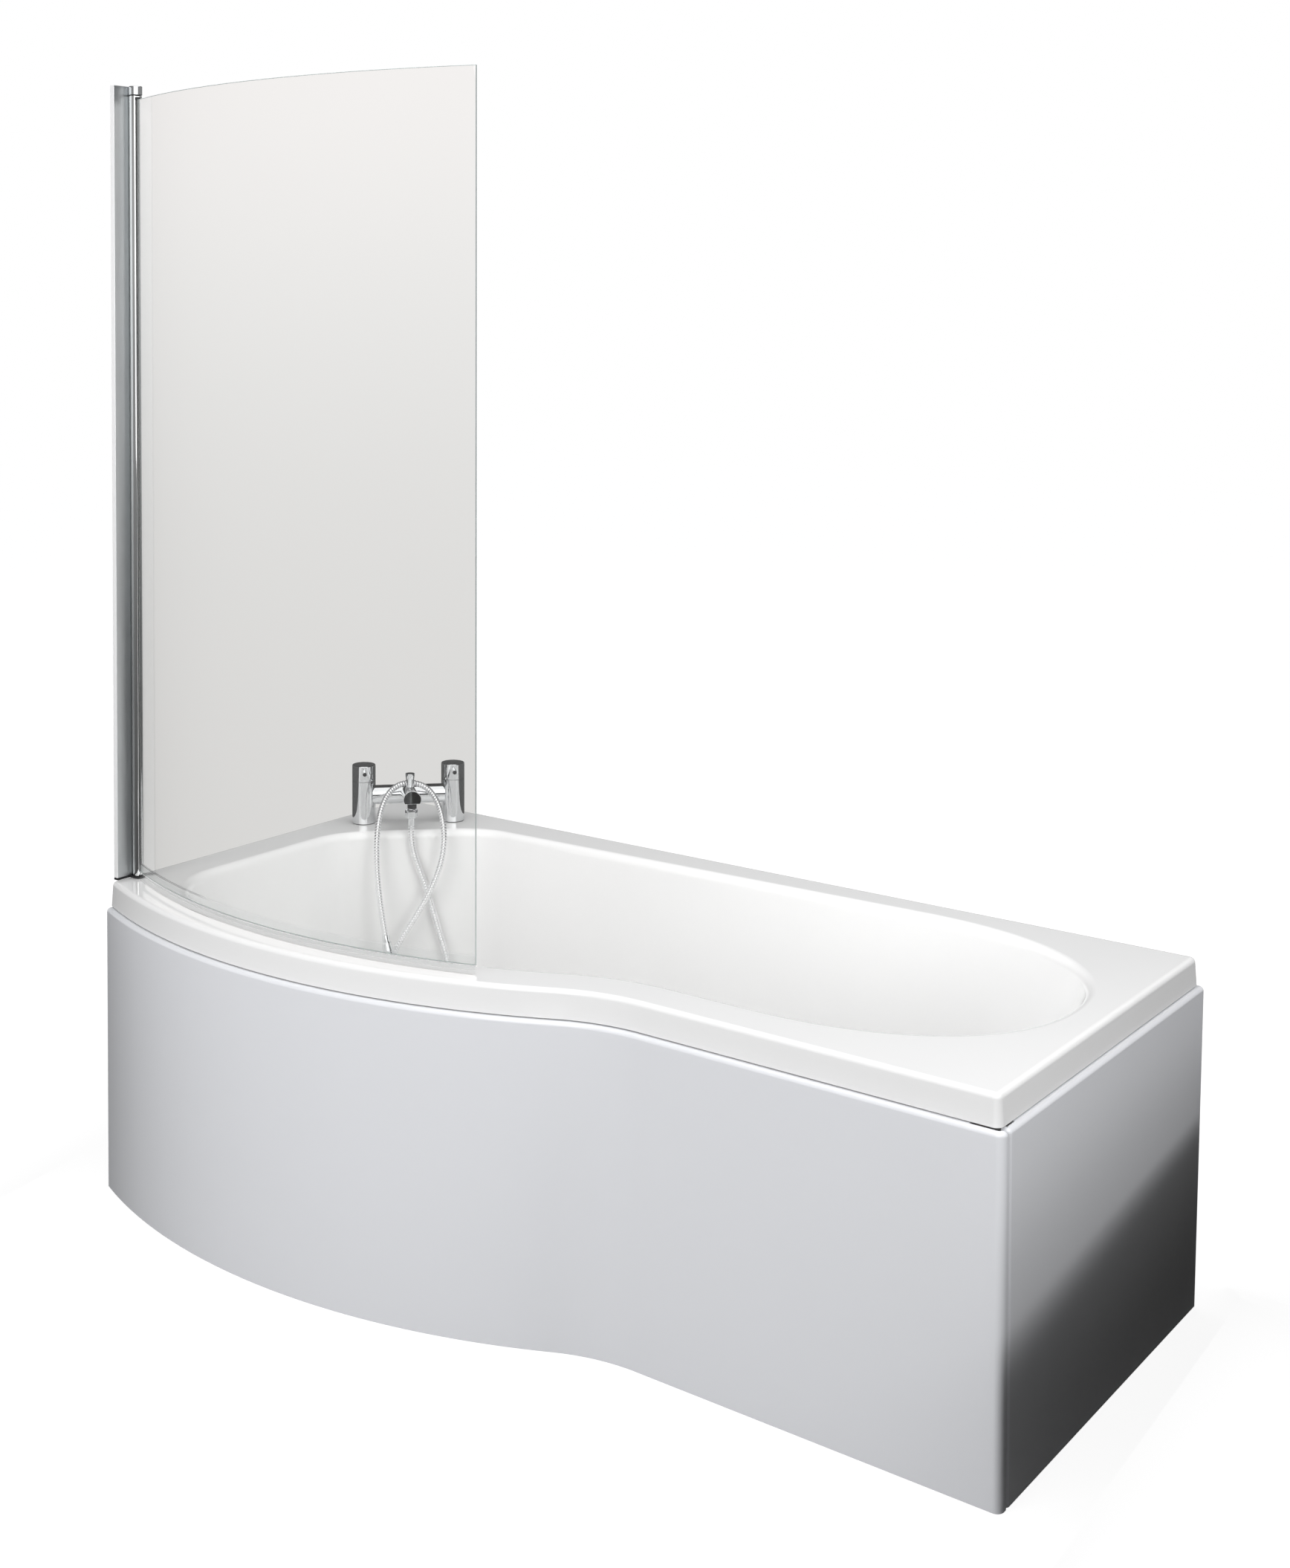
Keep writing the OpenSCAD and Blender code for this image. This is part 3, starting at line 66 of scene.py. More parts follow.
# %% Camera
PHOTO_W = 1736
PHOTO_H = 2110
SENSOR = 36
FOCAL_PX = 2714.22
LENS_MIDDLE_PX = (709.34, 507.34)
CAMERA_AT = Vector((1972.76, -2731.88, 1586.51)) * MM
CAMERA_TURN = radians(38.11)
CAMERA_DIP = radians(1.84)
CAMERA_ROLL = radians(0.08)

camera_data = bpy.data.cameras.new("camera")
camera_data.sensor_width = SENSOR
camera_data.lens = FOCAL_PX * SENSOR / PHOTO_H
camera_data.shift_x = (PHOTO_W / 2 - LENS_MIDDLE_PX[0]) / PHOTO_H
camera_data.shift_y = (LENS_MIDDLE_PX[1] - PHOTO_H / 2) / PHOTO_H
camera = bpy.data.objects.new("camera", camera_data)
camera.matrix_world = (
    Matrix.Translation(CAMERA_AT)
    @ Matrix.Rotation(CAMERA_TURN, 4, "Z")
    @ Matrix.Rotation(pi / 2 - CAMERA_DIP, 4, "X")
    @ Matrix.Rotation(CAMERA_ROLL, 4, "Z")
)
scene.collection.objects.link(camera)
scene.camera = camera
print("lens, mm:", round(camera_data.lens, 2))
print("shift:", round(camera_data.shift_x, 4), round(camera_data.shift_y, 4))

# %% [markdown]
# ## Places on the bath
#
# A fitter measures a bath from the corner of the room: along the back wall, out from it, and up
# from the floor. These few helpers take such measures and give points of the frame. A mixer or a
# screen has its own natural directions, so each is made on a bench: a matrix that leads from its
# own place to the frame. Benches can be shifted and tipped to make further ones.

# %% Driving sizes and places
BATH_LEN = 1700
BATH_W = 735
BULGE_W = 895
BULGE_R = 1150
BULGE_X = 460
BLEND_R = 300
RIM_Z = 556
FLOOR_Z = 160
PANEL_OUT = 8.5
TO_MIDDLE = Vector((-(BATH_LEN + PANEL_OUT) / 2, (BULGE_W + PANEL_OUT) / 2, 0))


def place(x, y, z):
    """A point measured from the corner of the room, as a point of the frame."""
    return (Vector((x, y, z)) + TO_MIDDLE) * MM


def stand(x, y, z, turn=0.0, tip=0.0):
    """The matrix of a small bench that stands at a place, turned about Z and then tipped about X."""
    way = Matrix.Rotation(radians(turn), 4, "Z") @ Matrix.Rotation(radians(tip), 4, "X")
    return Matrix.Translation(place(x, y, z)) @ way


def shifted(bench, x, y, z):
    """A bench moved along its own directions."""
    return bench @ Matrix.Translation(Vector((x, y, z)) * MM)


def tipped(bench, angle, axis):
    """A bench turned about one of its own directions, in degrees."""
    return bench @ Matrix.Rotation(radians(angle), 4, axis)


TAP_X = 135
TAP_Y = 139
TAP_PITCH = 180
ACROSS_CORNER = 45
MIXER = stand(TAP_X, -TAP_Y, RIM_Z, ACROSS_CORNER)
HOT = shifted(MIXER, -TAP_PITCH / 2, 0, 0)
COLD = shifted(MIXER, TAP_PITCH / 2, 0, 0)

# %% [markdown]
# ## Shaping from outlines
#
# Most pieces here are skins through a row of outlines: a turned knob is circles one above the
# other, a panel is one section carried along its plan, and the tub is the rim's outline shrinking
# into the basin's. By hand that is a circle whose edge is selected, extruded and moved again and
# again. `skin` does just that. Each vertex carries its number round the outline, so that every
# newly extruded loop can be laid on the next outline.

# %% Skin through outlines
STEP = "step"


def lay(obj, outline, only_selected=True):
    """Moves the loop in hand onto an outline, by each vertex's number round the loop."""
    mesh = bmesh.from_edit_mesh(obj.data)
    step = mesh.verts.layers.int[STEP]
    for vert in mesh.verts:
        if vert.select or not only_selected:
            vert.co = outline[vert[step]]
    bmesh.update_edit_mesh(obj.data)


def skin(name, outlines, closed=False, caps=True, smooth=30):
    """A mesh through outlines of equal counts, closed on itself or capped at both ends."""
    bpy.ops.object.select_all(action="DESELECT")
    bpy.ops.mesh.primitive_circle_add(vertices=len(outlines[0]), radius=1)
    obj = bpy.context.active_object
    obj.name = name
    bpy.ops.object.mode_set(mode="EDIT")
    mesh = bmesh.from_edit_mesh(obj.data)
    step = mesh.verts.layers.int.new(STEP)
    mesh.verts.ensure_lookup_table()
    for number, vert in enumerate(mesh.verts):
        vert[step] = number
    bmesh.update_edit_mesh(obj.data)
    lay(obj, outlines[0], only_selected=False)
    if caps and not closed:
        bpy.ops.mesh.edge_face_add()
        bpy.ops.mesh.select_all(action="DESELECT")
        mesh = bmesh.from_edit_mesh(obj.data)
        for edge in mesh.edges:
            edge.select_set(True)
        bmesh.update_edit_mesh(obj.data)
    for outline in outlines[1:] + (outlines[:1] if closed else []):
        bpy.ops.mesh.extrude_edges_move()
        lay(obj, outline)
    if caps and not closed:
        bpy.ops.mesh.edge_face_add()
    bpy.ops.mesh.select_all(action="SELECT")
    bpy.ops.mesh.remove_doubles(threshold=1e-6)
    bpy.ops.mesh.normals_make_consistent(inside=False)
    bpy.ops.object.mode_set(mode="OBJECT")
    obj.data.attributes.remove(obj.data.attributes[STEP])
    bpy.ops.object.shade_smooth_by_angle(angle=radians(smooth))
    return obj


def pick(obj):
    """Selects one object alone for the operators that follow."""
    bpy.ops.object.select_all(action="DESELECT")
    obj.select_set(True)
    bpy.context.view_layer.objects.active = obj


def apply_modifiers(obj):
    """Turns the modifiers of a piece into plain mesh, in their order."""
    pick(obj)
    for name in [modifier.name for modifier in obj.modifiers]:
        bpy.ops.object.modifier_apply(modifier=name)


def settle(obj, bench):
    """Puts a piece made at the origin on its bench, and applies the place to its mesh."""
    pick(obj)
    obj.matrix_world = bench @ obj.matrix_world
    bpy.ops.object.transform_apply(location=True, rotation=True, scale=True)
    return obj


# %% [markdown]
# The outlines come from a few drawing aids: straight runs, arcs, and corners eased by a radius. A
# turned piece closes at its axis with a ring too small to see, whose radius is `CORE`.

# %% Corners, arcs and turned pieces
CORE = 0.01


def run(p, q, n):
    """n points from p towards q, without q."""
    return [Vector(p).lerp(Vector(q), i / n) for i in range(n)]


def bow(centre, r, start, end, n, whole=False):
    """Points of an arc in n steps, in degrees, without its last one unless it is whole."""
    angles = [radians(start + (end - start) * i / n) for i in range(n + whole)]
    return [Vector((centre[0] + r * cos(a), centre[1] + r * sin(a))) for a in angles]


def eased(corners, steps=4, loop=True):
    """Rounds an outline's corners, each given as (x, y, radius)."""
    points = []
    count = len(corners)
    for i, (x, y, r) in enumerate(corners):
        here = Vector((x, y))
        if r == 0 or (not loop and i in (0, count - 1)):
            points.append(here)
            continue
        before = (Vector(corners[i - 1][:2]) - here).normalized()
        after = (Vector(corners[(i + 1) % count][:2]) - here).normalized()
        half = before.angle(after) / 2
        centre = here + (before + after).normalized() * (r / sin(half))
        first = here + before * (r / tan(half)) - centre
        last = here + after * (r / tan(half)) - centre
        sweep = first.angle_signed(last)
        for k in range(steps + 1):
            points.append(centre + first @ Matrix.Rotation(sweep * k / steps, 2))
    return points


def quarter(steps):
    """Angles of a quarter circle in even steps, with both ends."""
    return [pi / 2 * k / steps for k in range(steps + 1)]


def round_angles(count):
    """Angles of count points evenly round a circle."""
    return [2 * pi * k / count for k in range(count)]


def turned(name, section, bench, sides=64, closed=False):
    """A piece turned on a lathe from a section of (radius, height) points."""
    rings = []
    for r, z in section:
        rings.append([Vector((r * cos(a), r * sin(a), z)) * MM for a in round_angles(sides)])
    return settle(skin(name, rings, closed=closed), bench)


def drawn(name, section, bench, z0, z1, smooth=30):
    """A bar drawn through a die: one plan section from z0 to z1."""
    ends = [[Vector((x, y, z)) * MM for x, y in section] for z in (z0, z1)]
    return settle(skin(name, ends, smooth=smooth), bench)


# %% [markdown]
# ## The hose
#
# The hose is a strip of metal wound into ribs over a rubber core. It leaves the mixer downwards,
# swings below, climbs over the mixer and drops into the basin, where it ends in the handset. Its
# length is fixed, so its line comes first: a smooth curve through the same points that the
# solid follows. One rib is then turned, repeated by an Array modifier until the length is full,
# and bent along the line by a Curve modifier, as ribs sit on a real hose.

# %% The hose's line
HOSE_R = 6
HOSE_ROUTE = [
    (0, 94, 10), (0, 94, -2), (0, 94, -14), (4, 96, -40), (13, 98, -66), (23, 101, -92),
    (34, 104, -126), (46, 108, -167), (57, 112, -205), (68, 116, -241), (75, 120, -277),
    (67, 124, -312), (44, 127, -339), (11, 128, -350), (-23, 128, -340), (-46, 128, -310),
    (-50, 127, -268), (-37, 126, -224), (-7, 125, -178), (18, 124, -140), (38, 122, -104),
    (54, 118, -68), (63, 112, -32), (65, 102, 4), (60, 86, 38), (50, 63, 63), (31, 43, 82),
    (2, 36, 88.5), (-27, 42, 84), (-48, 60, 68), (-61, 82, 42), (-68, 101, 8), (-70, 112, -34),
    (-69, 120, -76), (-64, 130, -124), (-58, 138.6, -164.7), (-56, 142, -176), (-54, 145.4, -187.3),
]
route = [MIXER @ (Vector((side, -out, up)) * MM) for side, out, up in HOSE_ROUTE]
guide = [2 * route[0] - route[1]] + route + [2 * route[-1] - route[-2]]

line_data = bpy.data.curves.new("hose_line", "CURVE")
line_data.dimensions = "3D"
line_data.twist_mode = "MINIMUM"
spline = line_data.splines.new("NURBS")
spline.points.add(len(guide) - 1)
for point, at in zip(spline.points, guide):
    point.co = (*at, 1)
spline.order_u = 4
spline.use_endpoint_u = False
spline.resolution_u = 12
hose_line = bpy.data.objects.new("hose_line", line_data)
scene.collection.objects.link(hose_line)


def on_spline(i, t):
    """Point of the uniform cubic spline in its stretch i, at t from 0 to 1."""
    a, b, c, d = guide[i:i + 4]
    near = (1 - t) ** 3 * a + (3 * t**3 - 6 * t**2 + 4) * b
    far = (-3 * t**3 + 3 * t**2 + 3 * t + 1) * c + t**3 * d
    return (near + far) / 6


FINENESS = 8
hose_path = [on_spline(i, k / FINENESS) for i in range(len(guide) - 3) for k in range(FINENESS)]
hose_path.append(route[-1])
hose_length = sum((q - p).length for p, q in zip(hose_path, hose_path[1:]))
print("hose length, mm:", round(hose_length / MM, 1))

# %% Ribs along the line
RIB_PITCH = 5.5
RIB_SIDES = 16
rib_count = round(hose_length / MM / RIB_PITCH)
rib_pitch = hose_length / rib_count
rib_outline = [(0.0, 5.0), (0.16, 5.55), (0.36, 5.95), (0.64, 5.95), (0.84, 5.55), (1.0, 5.0)]
rib_rings = []
for share, r in rib_outline:
    along = share * rib_pitch
    rib_rings.append([Vector((along, r * MM * cos(a), r * MM * sin(a))) for a in round_angles(RIB_SIDES)])
hose = skin("shower_hose_ribs", rib_rings, caps=False, smooth=80)
ribs = hose.modifiers.new("ribs", "ARRAY")
ribs.count = rib_count
ribs.use_relative_offset = False
ribs.use_constant_offset = True
ribs.constant_offset_displace = (rib_pitch, 0, 0)
ribs.use_merge_vertices = True
ribs.merge_threshold = 1e-5
bend = hose.modifiers.new("bend", "CURVE")
bend.object = hose_line
bend.deform_axis = "POS_X"
apply_modifiers(hose)
bpy.data.objects.remove(hose_line)
print("ribs:", rib_count, "faces:", len(hose.data.polygons))

# %% [markdown]
# ## Fittings of the hose
#
# A hexagonal nut pulls the hose against the outlet under the spout. Plain ferrules crimp its two ends, and
# a tapered nut screws it to the handset. They ride with the hose, so they are made with it and hang on the
# same body as the hose.

# %% Nut, ferrules and cone nut
OUTLET_D = 94
NUT_Z = 31
NUT_H = 17
NUT_AF = 22
NIPPLE_R = 8
HOSE_BORE = 3.5
FERRULE_L = 12
CONE_L = 20
CONE_R = 11.5
HEX_ROUND = 0.8
outlet = shifted(MIXER, 0, -OUTLET_D, 0)

hex_plan = eased([(x, y, HEX_ROUND) for x, y in bow((0, 0), NUT_AF / sqrt(3), 0, 360, 6)], 3)
nut_rings = []
for inset, z in ((1.6, 0), (0.2, 1.4), (0, 2.2), (0, NUT_H - 2.2), (0.2, NUT_H - 1.4), (1.6, NUT_H)):
    nut_rings.append([Vector((*(p * (1 - inset / (NUT_AF / 2))), z + NUT_Z)) * MM for p in hex_plan])
bore_rings = []
for z in (NUT_H, 0):
    bore_rings.append([Vector((*(p.normalized() * NIPPLE_R), z + NUT_Z)) * MM for p in hex_plan])
hose_nut = settle(skin("hose_nut_hex", nut_rings + bore_rings, closed=True), outlet)

upper_section = eased([
    (HOSE_BORE, 10, 0), (HOSE_R + 1, 10, 0.6), (HOSE_R + 1, 14, 0), (HOSE_R + 0.6, 14.6, 0),
    (HOSE_R + 0.6, 16, 0), (HOSE_R + 1, 16.6, 0), (HOSE_R + 1, NUT_Z, 0), (NIPPLE_R - 0.1, NUT_Z, 0),
    (NIPPLE_R - 0.1, NUT_Z + 3.8, 0.4), (HOSE_BORE, NUT_Z + 3.8, 0),
], 3)
upper_ferrule = turned("upper_ferrule_crimped", upper_section, outlet, closed=True)

end_side, end_out, end_up = HOSE_ROUTE[-1]
end_way = MIXER.to_3x3().inverted() @ (route[-1] - route[-2]).normalized()
HANDSET = (
    shifted(MIXER, end_side, -end_out, end_up)
    @ Matrix.Rotation(atan2(end_way[1], end_way[0]), 4, "Z")
    @ Matrix.Rotation(acos(end_way[2]), 4, "Y")
)
lower_section = eased([
    (HOSE_BORE, 0, 0), (HOSE_R + 1, 0, 0.6), (HOSE_R + 1, FERRULE_L, 0), (HOSE_BORE, FERRULE_L, 0),
], 3)
lower_ferrule = turned("lower_ferrule_crimped", lower_section, HANDSET, closed=True)
cone_section = eased([
    (HOSE_BORE, FERRULE_L, 0), (HOSE_R + 2, FERRULE_L, 0.8), (HOSE_R + 2.8, FERRULE_L + 3, 0.6),
    (CONE_R - 0.5, FERRULE_L + CONE_L - 3.2, 1), (CONE_R, FERRULE_L + CONE_L - 2.4, 0.4),
    (CONE_R, FERRULE_L + CONE_L, 0.5), (HOSE_BORE, FERRULE_L + CONE_L, 0),
], 3)
cone_nut = turned("cone_nut_turned", cone_section, HANDSET, closed=True)

for piece, node in (
    (hose, "shower_hose"), (hose_nut, "hose_nut"), (upper_ferrule, "upper_ferrule"),
    (lower_ferrule, "lower_ferrule"), (cone_nut, "handset_cone_nut"),
):
    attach(piece, "bath")
    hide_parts(node)

# %% [markdown]
# ## Finishes
#
# Gloss acrylic, chrome and glass have almost no pattern of their own. What the eye reads is how
# evenly they reflect, so each finish varies its roughness and surface a little at the real scale:
# the faint ripple of moulded acrylic, the fine lines of drawn metal, the grain of sawn timber.
# All patterns use Object coordinates, which stay on the piece at any joint pose.


# %% Nodes
def dial(node, values):
    """Sets inputs of a node by their names."""
    for name, value in values.items():
        node.inputs[name].default_value = value


def add(nodes, kind, values=None):
    """A new shader node with some of its inputs set."""
    made = nodes.new("ShaderNode" + kind)
    dial(made, values or {})
    return made


def wire(output, node, name):
    """Links an output to a named input of a node."""
    node.id_data.links.new(output, node.inputs[name])


def colour_mix(nodes):
    """A node that mixes its colours A and B."""
    mix = nodes.new("ShaderNodeMix")
    mix.data_type = "RGBA"
    return mix


def plain_material(name):
    """A new material and its nodes."""
    material = bpy.data.materials.new(name)
    material.use_nodes = True
    return material, material.node_tree.nodes


# %% Start of every finish
RELIEF = 0.0005


def finish(name, colour, rough, metallic=0.0, ripple=(0.02, 60), mottle=(0.01, 6)):
    """A finish whose colour and roughness drift by a noise, with a fine ripple for relief.

    The ripple is given as (strength, scale) and the mottle as (share, scale).
    """
    strength, ripple_scale = ripple
    share, mottle_scale = mottle
    material, nodes = plain_material(name)
    shader = nodes["Principled BSDF"]
    dial(shader, {"Metallic": metallic})
    at = add(nodes, "TexCoord")
    drift = add(nodes, "TexNoise", {"Scale": mottle_scale, "Detail": 3})
    wire(at.outputs["Object"], drift, "Vector")
    darker = [c * (1 - share) for c in colour]
    lighter = [min(1.0, c * (1 + share)) for c in colour]
    tint = colour_mix(nodes)
    dial(tint, {"A": (*darker, 1), "B": (*lighter, 1)})
    wire(drift.outputs["Fac"], tint, "Factor")
    wire(tint.outputs["Result"], shader, "Base Color")
    spread = add(nodes, "MapRange", {"To Min": rough * 0.8, "To Max": rough * 1.2})
    wire(drift.outputs["Fac"], spread, "Value")
    wire(spread.outputs["Result"], shader, "Roughness")
    grain = add(nodes, "TexNoise", {"Scale": ripple_scale, "Detail": 2})
    grain.name = "grain"
    wire(at.outputs["Object"], grain, "Vector")
    relief = add(nodes, "Bump", {"Strength": strength, "Distance": RELIEF})
    wire(grain.outputs["Fac"], relief, "Height")
    wire(relief.outputs["Normal"], shader, "Normal")
    return material


def stretched(material, scale):
    """Stretches the relief of a finish, so that its noise becomes lines along one direction."""
    nodes = material.node_tree.nodes
    mapping = add(nodes, "Mapping", {"Scale": scale})
    wire(nodes["Texture Coordinate"].outputs["Object"], mapping, "Vector")
    wire(mapping.outputs["Vector"], nodes["grain"], "Vector")
    return material


# %% Acrylic, panels and metals
acrylic = finish("gloss acrylic", (0.86, 0.86, 0.855), 0.11, ripple=(0.04, 18), mottle=(0.006, 6))
panel_gloss = finish("gloss panel", (0.80, 0.81, 0.835), 0.13, ripple=(0.06, 9), mottle=(0.008, 6))
for coated in (acrylic, panel_gloss):
    dial(coated.node_tree.nodes["Principled BSDF"], {"Coat Weight": 0.6, "Coat Roughness": 0.04})
chrome = finish("chrome", (0.80, 0.81, 0.82), 0.04, metallic=1, ripple=(0.015, 60))
strip = finish("hose strip", (0.86, 0.86, 0.87), 0.12, metallic=0.78, ripple=(0.02, 400), mottle=(0.02, 6))
ALONG_UPRIGHT = (1, 1, 0.01)
silver = stretched(
    finish("satin silver", (0.72, 0.73, 0.74), 0.26, metallic=1, ripple=(0.05, 900)),
    ALONG_UPRIGHT,
)
bright = finish("bright silver", (0.88, 0.89, 0.89), 0.07, metallic=1)
anodised = stretched(
    finish("anodised silver", (0.64, 0.66, 0.67), 0.40, metallic=1, ripple=(0.05, 900)),
    ALONG_UPRIGHT,
)
# Near-white and hardly metallic: a painted reflection, for the polished face of the wall profile that
# looks at the room.
painted_highlight_face = finish("painted highlight face", (0.97, 0.97, 0.97), 0.2, metallic=0.15, ripple=(0.02, 300))
zinc = finish("zinc plate", (0.52, 0.53, 0.55), 0.38, metallic=1, ripple=(0.2, 300), mottle=(0.08, 90))
brass = finish("turned brass", (0.60, 0.42, 0.18), 0.28, metallic=1, ripple=(0.1, 400), mottle=(0.05, 6))

# %% Plastics, rubber and timber
black_plastic = finish("black moulding", (0.012, 0.012, 0.013), 0.42, ripple=(0.25, 1400), mottle=(0.1, 6))
rubber = finish("rubber", (0.016, 0.016, 0.016), 0.7, ripple=(0.35, 900), mottle=(0.1, 6))
cartridge = finish("cartridge plastic", (0.55, 0.49, 0.36), 0.35, ripple=(0.1, 500), mottle=(0.04, 6))
ALONG_PLANK = (0.08, 1, 1)
timber = stretched(
    finish("sawn timber", (0.50, 0.34, 0.18), 0.75, ripple=(0.6, 260), mottle=(0.22, 14)),
    ALONG_PLANK,
)

# %% [markdown]
# ## Glass and clear vinyl
#
# Clear things show mostly what is behind them. Their own look is a faint tint, a bright line where
# an edge catches light and a little less light through them where the path is long. A plain
# transmission shader on a piece of true thickness does all of that. The clear pieces cast no
# shadow, because real glass lets nearly all light through.


# %% Clear finishes
def clear(name, colour, rough, index, ripple):
    """A finish that lets light through, with hardly a reflection of its own."""
    material = finish(name, colour, rough, ripple=(ripple, 12), mottle=(0.004, 6))
    shader = material.node_tree.nodes["Principled BSDF"]
    dial(shader, {"Transmission Weight": 1, "IOR": index, "Specular IOR Level": 0.03})
    return material


glass = clear("toughened glass", (0.975, 0.98, 0.975), 0.01, 1.5, 0.01)
ground_edge = finish("ground glass edge", (0.46, 0.51, 0.50), 0.35, ripple=(0.1, 600), mottle=(0.02, 6))
vinyl = clear("clear vinyl", (0.96, 0.965, 0.965), 0.04, 1.12, 0.02)

# %% Which slot each finish stands for
FINISHES = {
    "acrylic": acrylic, "panel": panel_gloss, "chrome": chrome, "silver": silver, "steel": zinc,
    "timber": timber, "black_plastic": black_plastic, "rubber": rubber, "clear_plastic": vinyl,
    "glass": glass, "brass": brass, "cartridge": cartridge,
}


def dress(obj, slot, body, *nodes):
    """Gives a piece its finish, the body that it moves with, and the nodes that it stands for."""
    level = obj.modifiers.new("flat faces stay flat", "WEIGHTED_NORMAL")
    level.keep_sharp = True
    apply_modifiers(obj)
    obj.data.materials.clear()
    obj.data.materials.append(FINISHES[slot])
    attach(obj, body)
    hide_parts(*nodes)
    if slot in ("glass", "clear_plastic"):
        obj.visible_shadow = False
    size = [round(d / MM) for d in obj.dimensions]
    print(obj.name, size, "mm,", len(obj.data.polygons), "faces")
    return obj


hose.data.materials.append(strip)
for piece in (hose_nut, upper_ferrule, lower_ferrule, cone_nut):
    piece.data.materials.append(chrome)
for part in subparts:
    node = frame["nodes"][part["node"]]
    node.data.materials.clear()
    node.data.materials.append(FINISHES[part["material_slot"]])

# %% [markdown]
# ## The tub
#
# The tub is one sheet of acrylic, drawn over a mould: a lip that hangs down all round, a rolled
# rim, a flat deck, and a basin whose walls lean and run into the floor. Its plan is straight
# lines and arcs: a bulge, a hollow arc and a straight front, a corner cut by the tap ledge, and a
# foot end that is squarer than an ellipse. Every outline below has its points in step with the
# next, so the skin between them stays even.

# %% Plan of the rim
FINE = 4
CORNER_R = 12
LEDGE_R = 150
BASIN_R = 170
DECK_LEFT = 78
DECK_BACK = 82
DECK_BACK_FOOT = 55
DECK_FOOT = 50
DECK_FRONT = 75
FOOT_ROUND = 390
FOOT_SQUARE = 2.2
FOOT_LAG = 0.4
LEDGE_D = 68
LEAST_R = 25
LEAST_RUN = 10
bulge_cy = BULGE_R - BULGE_W
blend_cy = -(BATH_W + BLEND_R)
blend_cx = BULGE_X + sqrt((BULGE_R + BLEND_R) ** 2 - (blend_cy - bulge_cy) ** 2)
bulge_c = (BULGE_X, bulge_cy)
blend_c = (blend_cx, blend_cy)
join_deg = 360 + degrees(atan2(blend_cy - bulge_cy, blend_cx - BULGE_X))
foot_cx = BATH_LEN - DECK_FOOT - FOOT_ROUND
ledge_line = TAP_X + TAP_Y + LEDGE_D * sqrt(2)
ledge_end = ledge_line + LEDGE_R / 2


def fillet_centre(x, r, big_r):
    """Centre of a circle of radius r that touches the line X = x and the inside of the bulge."""
    return (x + r, bulge_cy - sqrt((big_r - r) ** 2 - (x + r - BULGE_X) ** 2))


def start_deg(centre):
    """Direction from the middle of the bulge to the middle of a corner, where the two arcs meet."""
    return 180 + degrees(atan2(bulge_cy - centre[1], BULGE_X - centre[0]))


def rim_ring(off, z):
    """One outline round the rim, drawn in by off."""
    k = FINE
    r = max(CORNER_R - off, 0.5)
    back, front, right = -off, -(BATH_W - off), BATH_LEN - off
    big_r = BULGE_R - off
    corner = fillet_centre(off, r, big_r)
    start = start_deg(corner)
    plan = (
        run((foot_cx, front), (right - r, front), 4 * k)
        + bow((right - r, front + r), r, -90, 0, 2 * k)
        + run((right, front + r), (right, back - r), 6 * k)
        + bow((right - r, back - r), r, 0, 90, 2 * k)
        + run((right - r, back), (foot_cx, back), 4 * k)
        + run((foot_cx, back), (ledge_end, back), 6 * k)
        + run((ledge_end, back), (ledge_line - LEDGE_R, back), 4 * k)
        + run((ledge_line - LEDGE_R, back), (off + r, back), 3 * k)
        + bow((off + r, back - r), r, 90, 180, 2 * k)
        + run((off, back - r), (off, LEDGE_R - ledge_line), 3 * k)
        + run((off, LEDGE_R - ledge_line), (off, -ledge_end), 4 * k)
        + run((off, -ledge_end), (off, corner[1]), 5 * k)
        + bow(corner, r, 180, start, 5 * k)
        + bow(bulge_c, big_r, start, join_deg, 18 * k)
        + bow(blend_c, BLEND_R + off, join_deg - 180, 90, 6 * k)
        + run((blend_cx, front), (foot_cx, front), 5 * k)
    )
    return [place(p[0], p[1], z) for p in plan]


# %% Plan of the basin
def squared(value, power):
    """A power of a number that keeps its sign, for ends squarer than an ellipse."""
    return abs(value) ** power * (1 if value > 0 else -1 if value < 0 else 0)


def basin_ring(s, q, z):
    """One outline round the basin, drawn in by s, with its foot end pulled in by q more."""
    k = FINE
    back, foot_back, front = -(DECK_BACK + s), -(DECK_BACK_FOOT + s), -(BATH_W - DECK_FRONT - s)
    left = DECK_LEFT + s
    cx = max(foot_cx - FOOT_LAG * (s + q), blend_cx + LEAST_RUN)
    half_l = BATH_LEN - DECK_FOOT - s - q - cx
    half_w = (foot_back - front) / 2
    line = ledge_line + s * sqrt(2)
    r1 = max(LEDGE_R - s, LEAST_R)
    tangent = r1 * tan(radians(22.5))
    c1 = (line + back + tangent, back - r1)
    c2 = (left + r1, left - line - tangent)
    r2 = max(BASIN_R - s, LEAST_R)
    big_r = BULGE_R - DECK_FRONT - s
    c3 = fillet_centre(left, r2, big_r)
    start = start_deg(c3)
    slant = Vector((cos(radians(135)), sin(radians(135)))) * r1
    foot = []
    for i in range(18 * k):
        a = radians(-90 + 180 * i / (18 * k))
        foot.append(Vector((
            cx + half_l * squared(cos(a), 2 / FOOT_SQUARE),
            front + half_w * (1 + squared(sin(a), 2 / FOOT_SQUARE)),
        )))
    plan = (
        foot
        + run((cx, foot_back), (c1[0], back), 6 * k)
        + bow(c1, r1, 90, 135, 4 * k)
        + run(Vector(c1) + slant, Vector(c2) + slant, 8 * k)
        + bow(c2, r1, 135, 180, 4 * k)
        + run((left, c2[1]), (left, c3[1]), 5 * k)
        + bow(c3, r2, 180, start, 5 * k)
        + bow(bulge_c, big_r, start, join_deg, 18 * k)
        + bow(blend_c, BLEND_R + DECK_FRONT + s, join_deg - 180, 90, 6 * k)
        + run((blend_cx, front), (cx, front), 5 * k)
    )
    return [place(p[0], p[1], z) for p in plan]


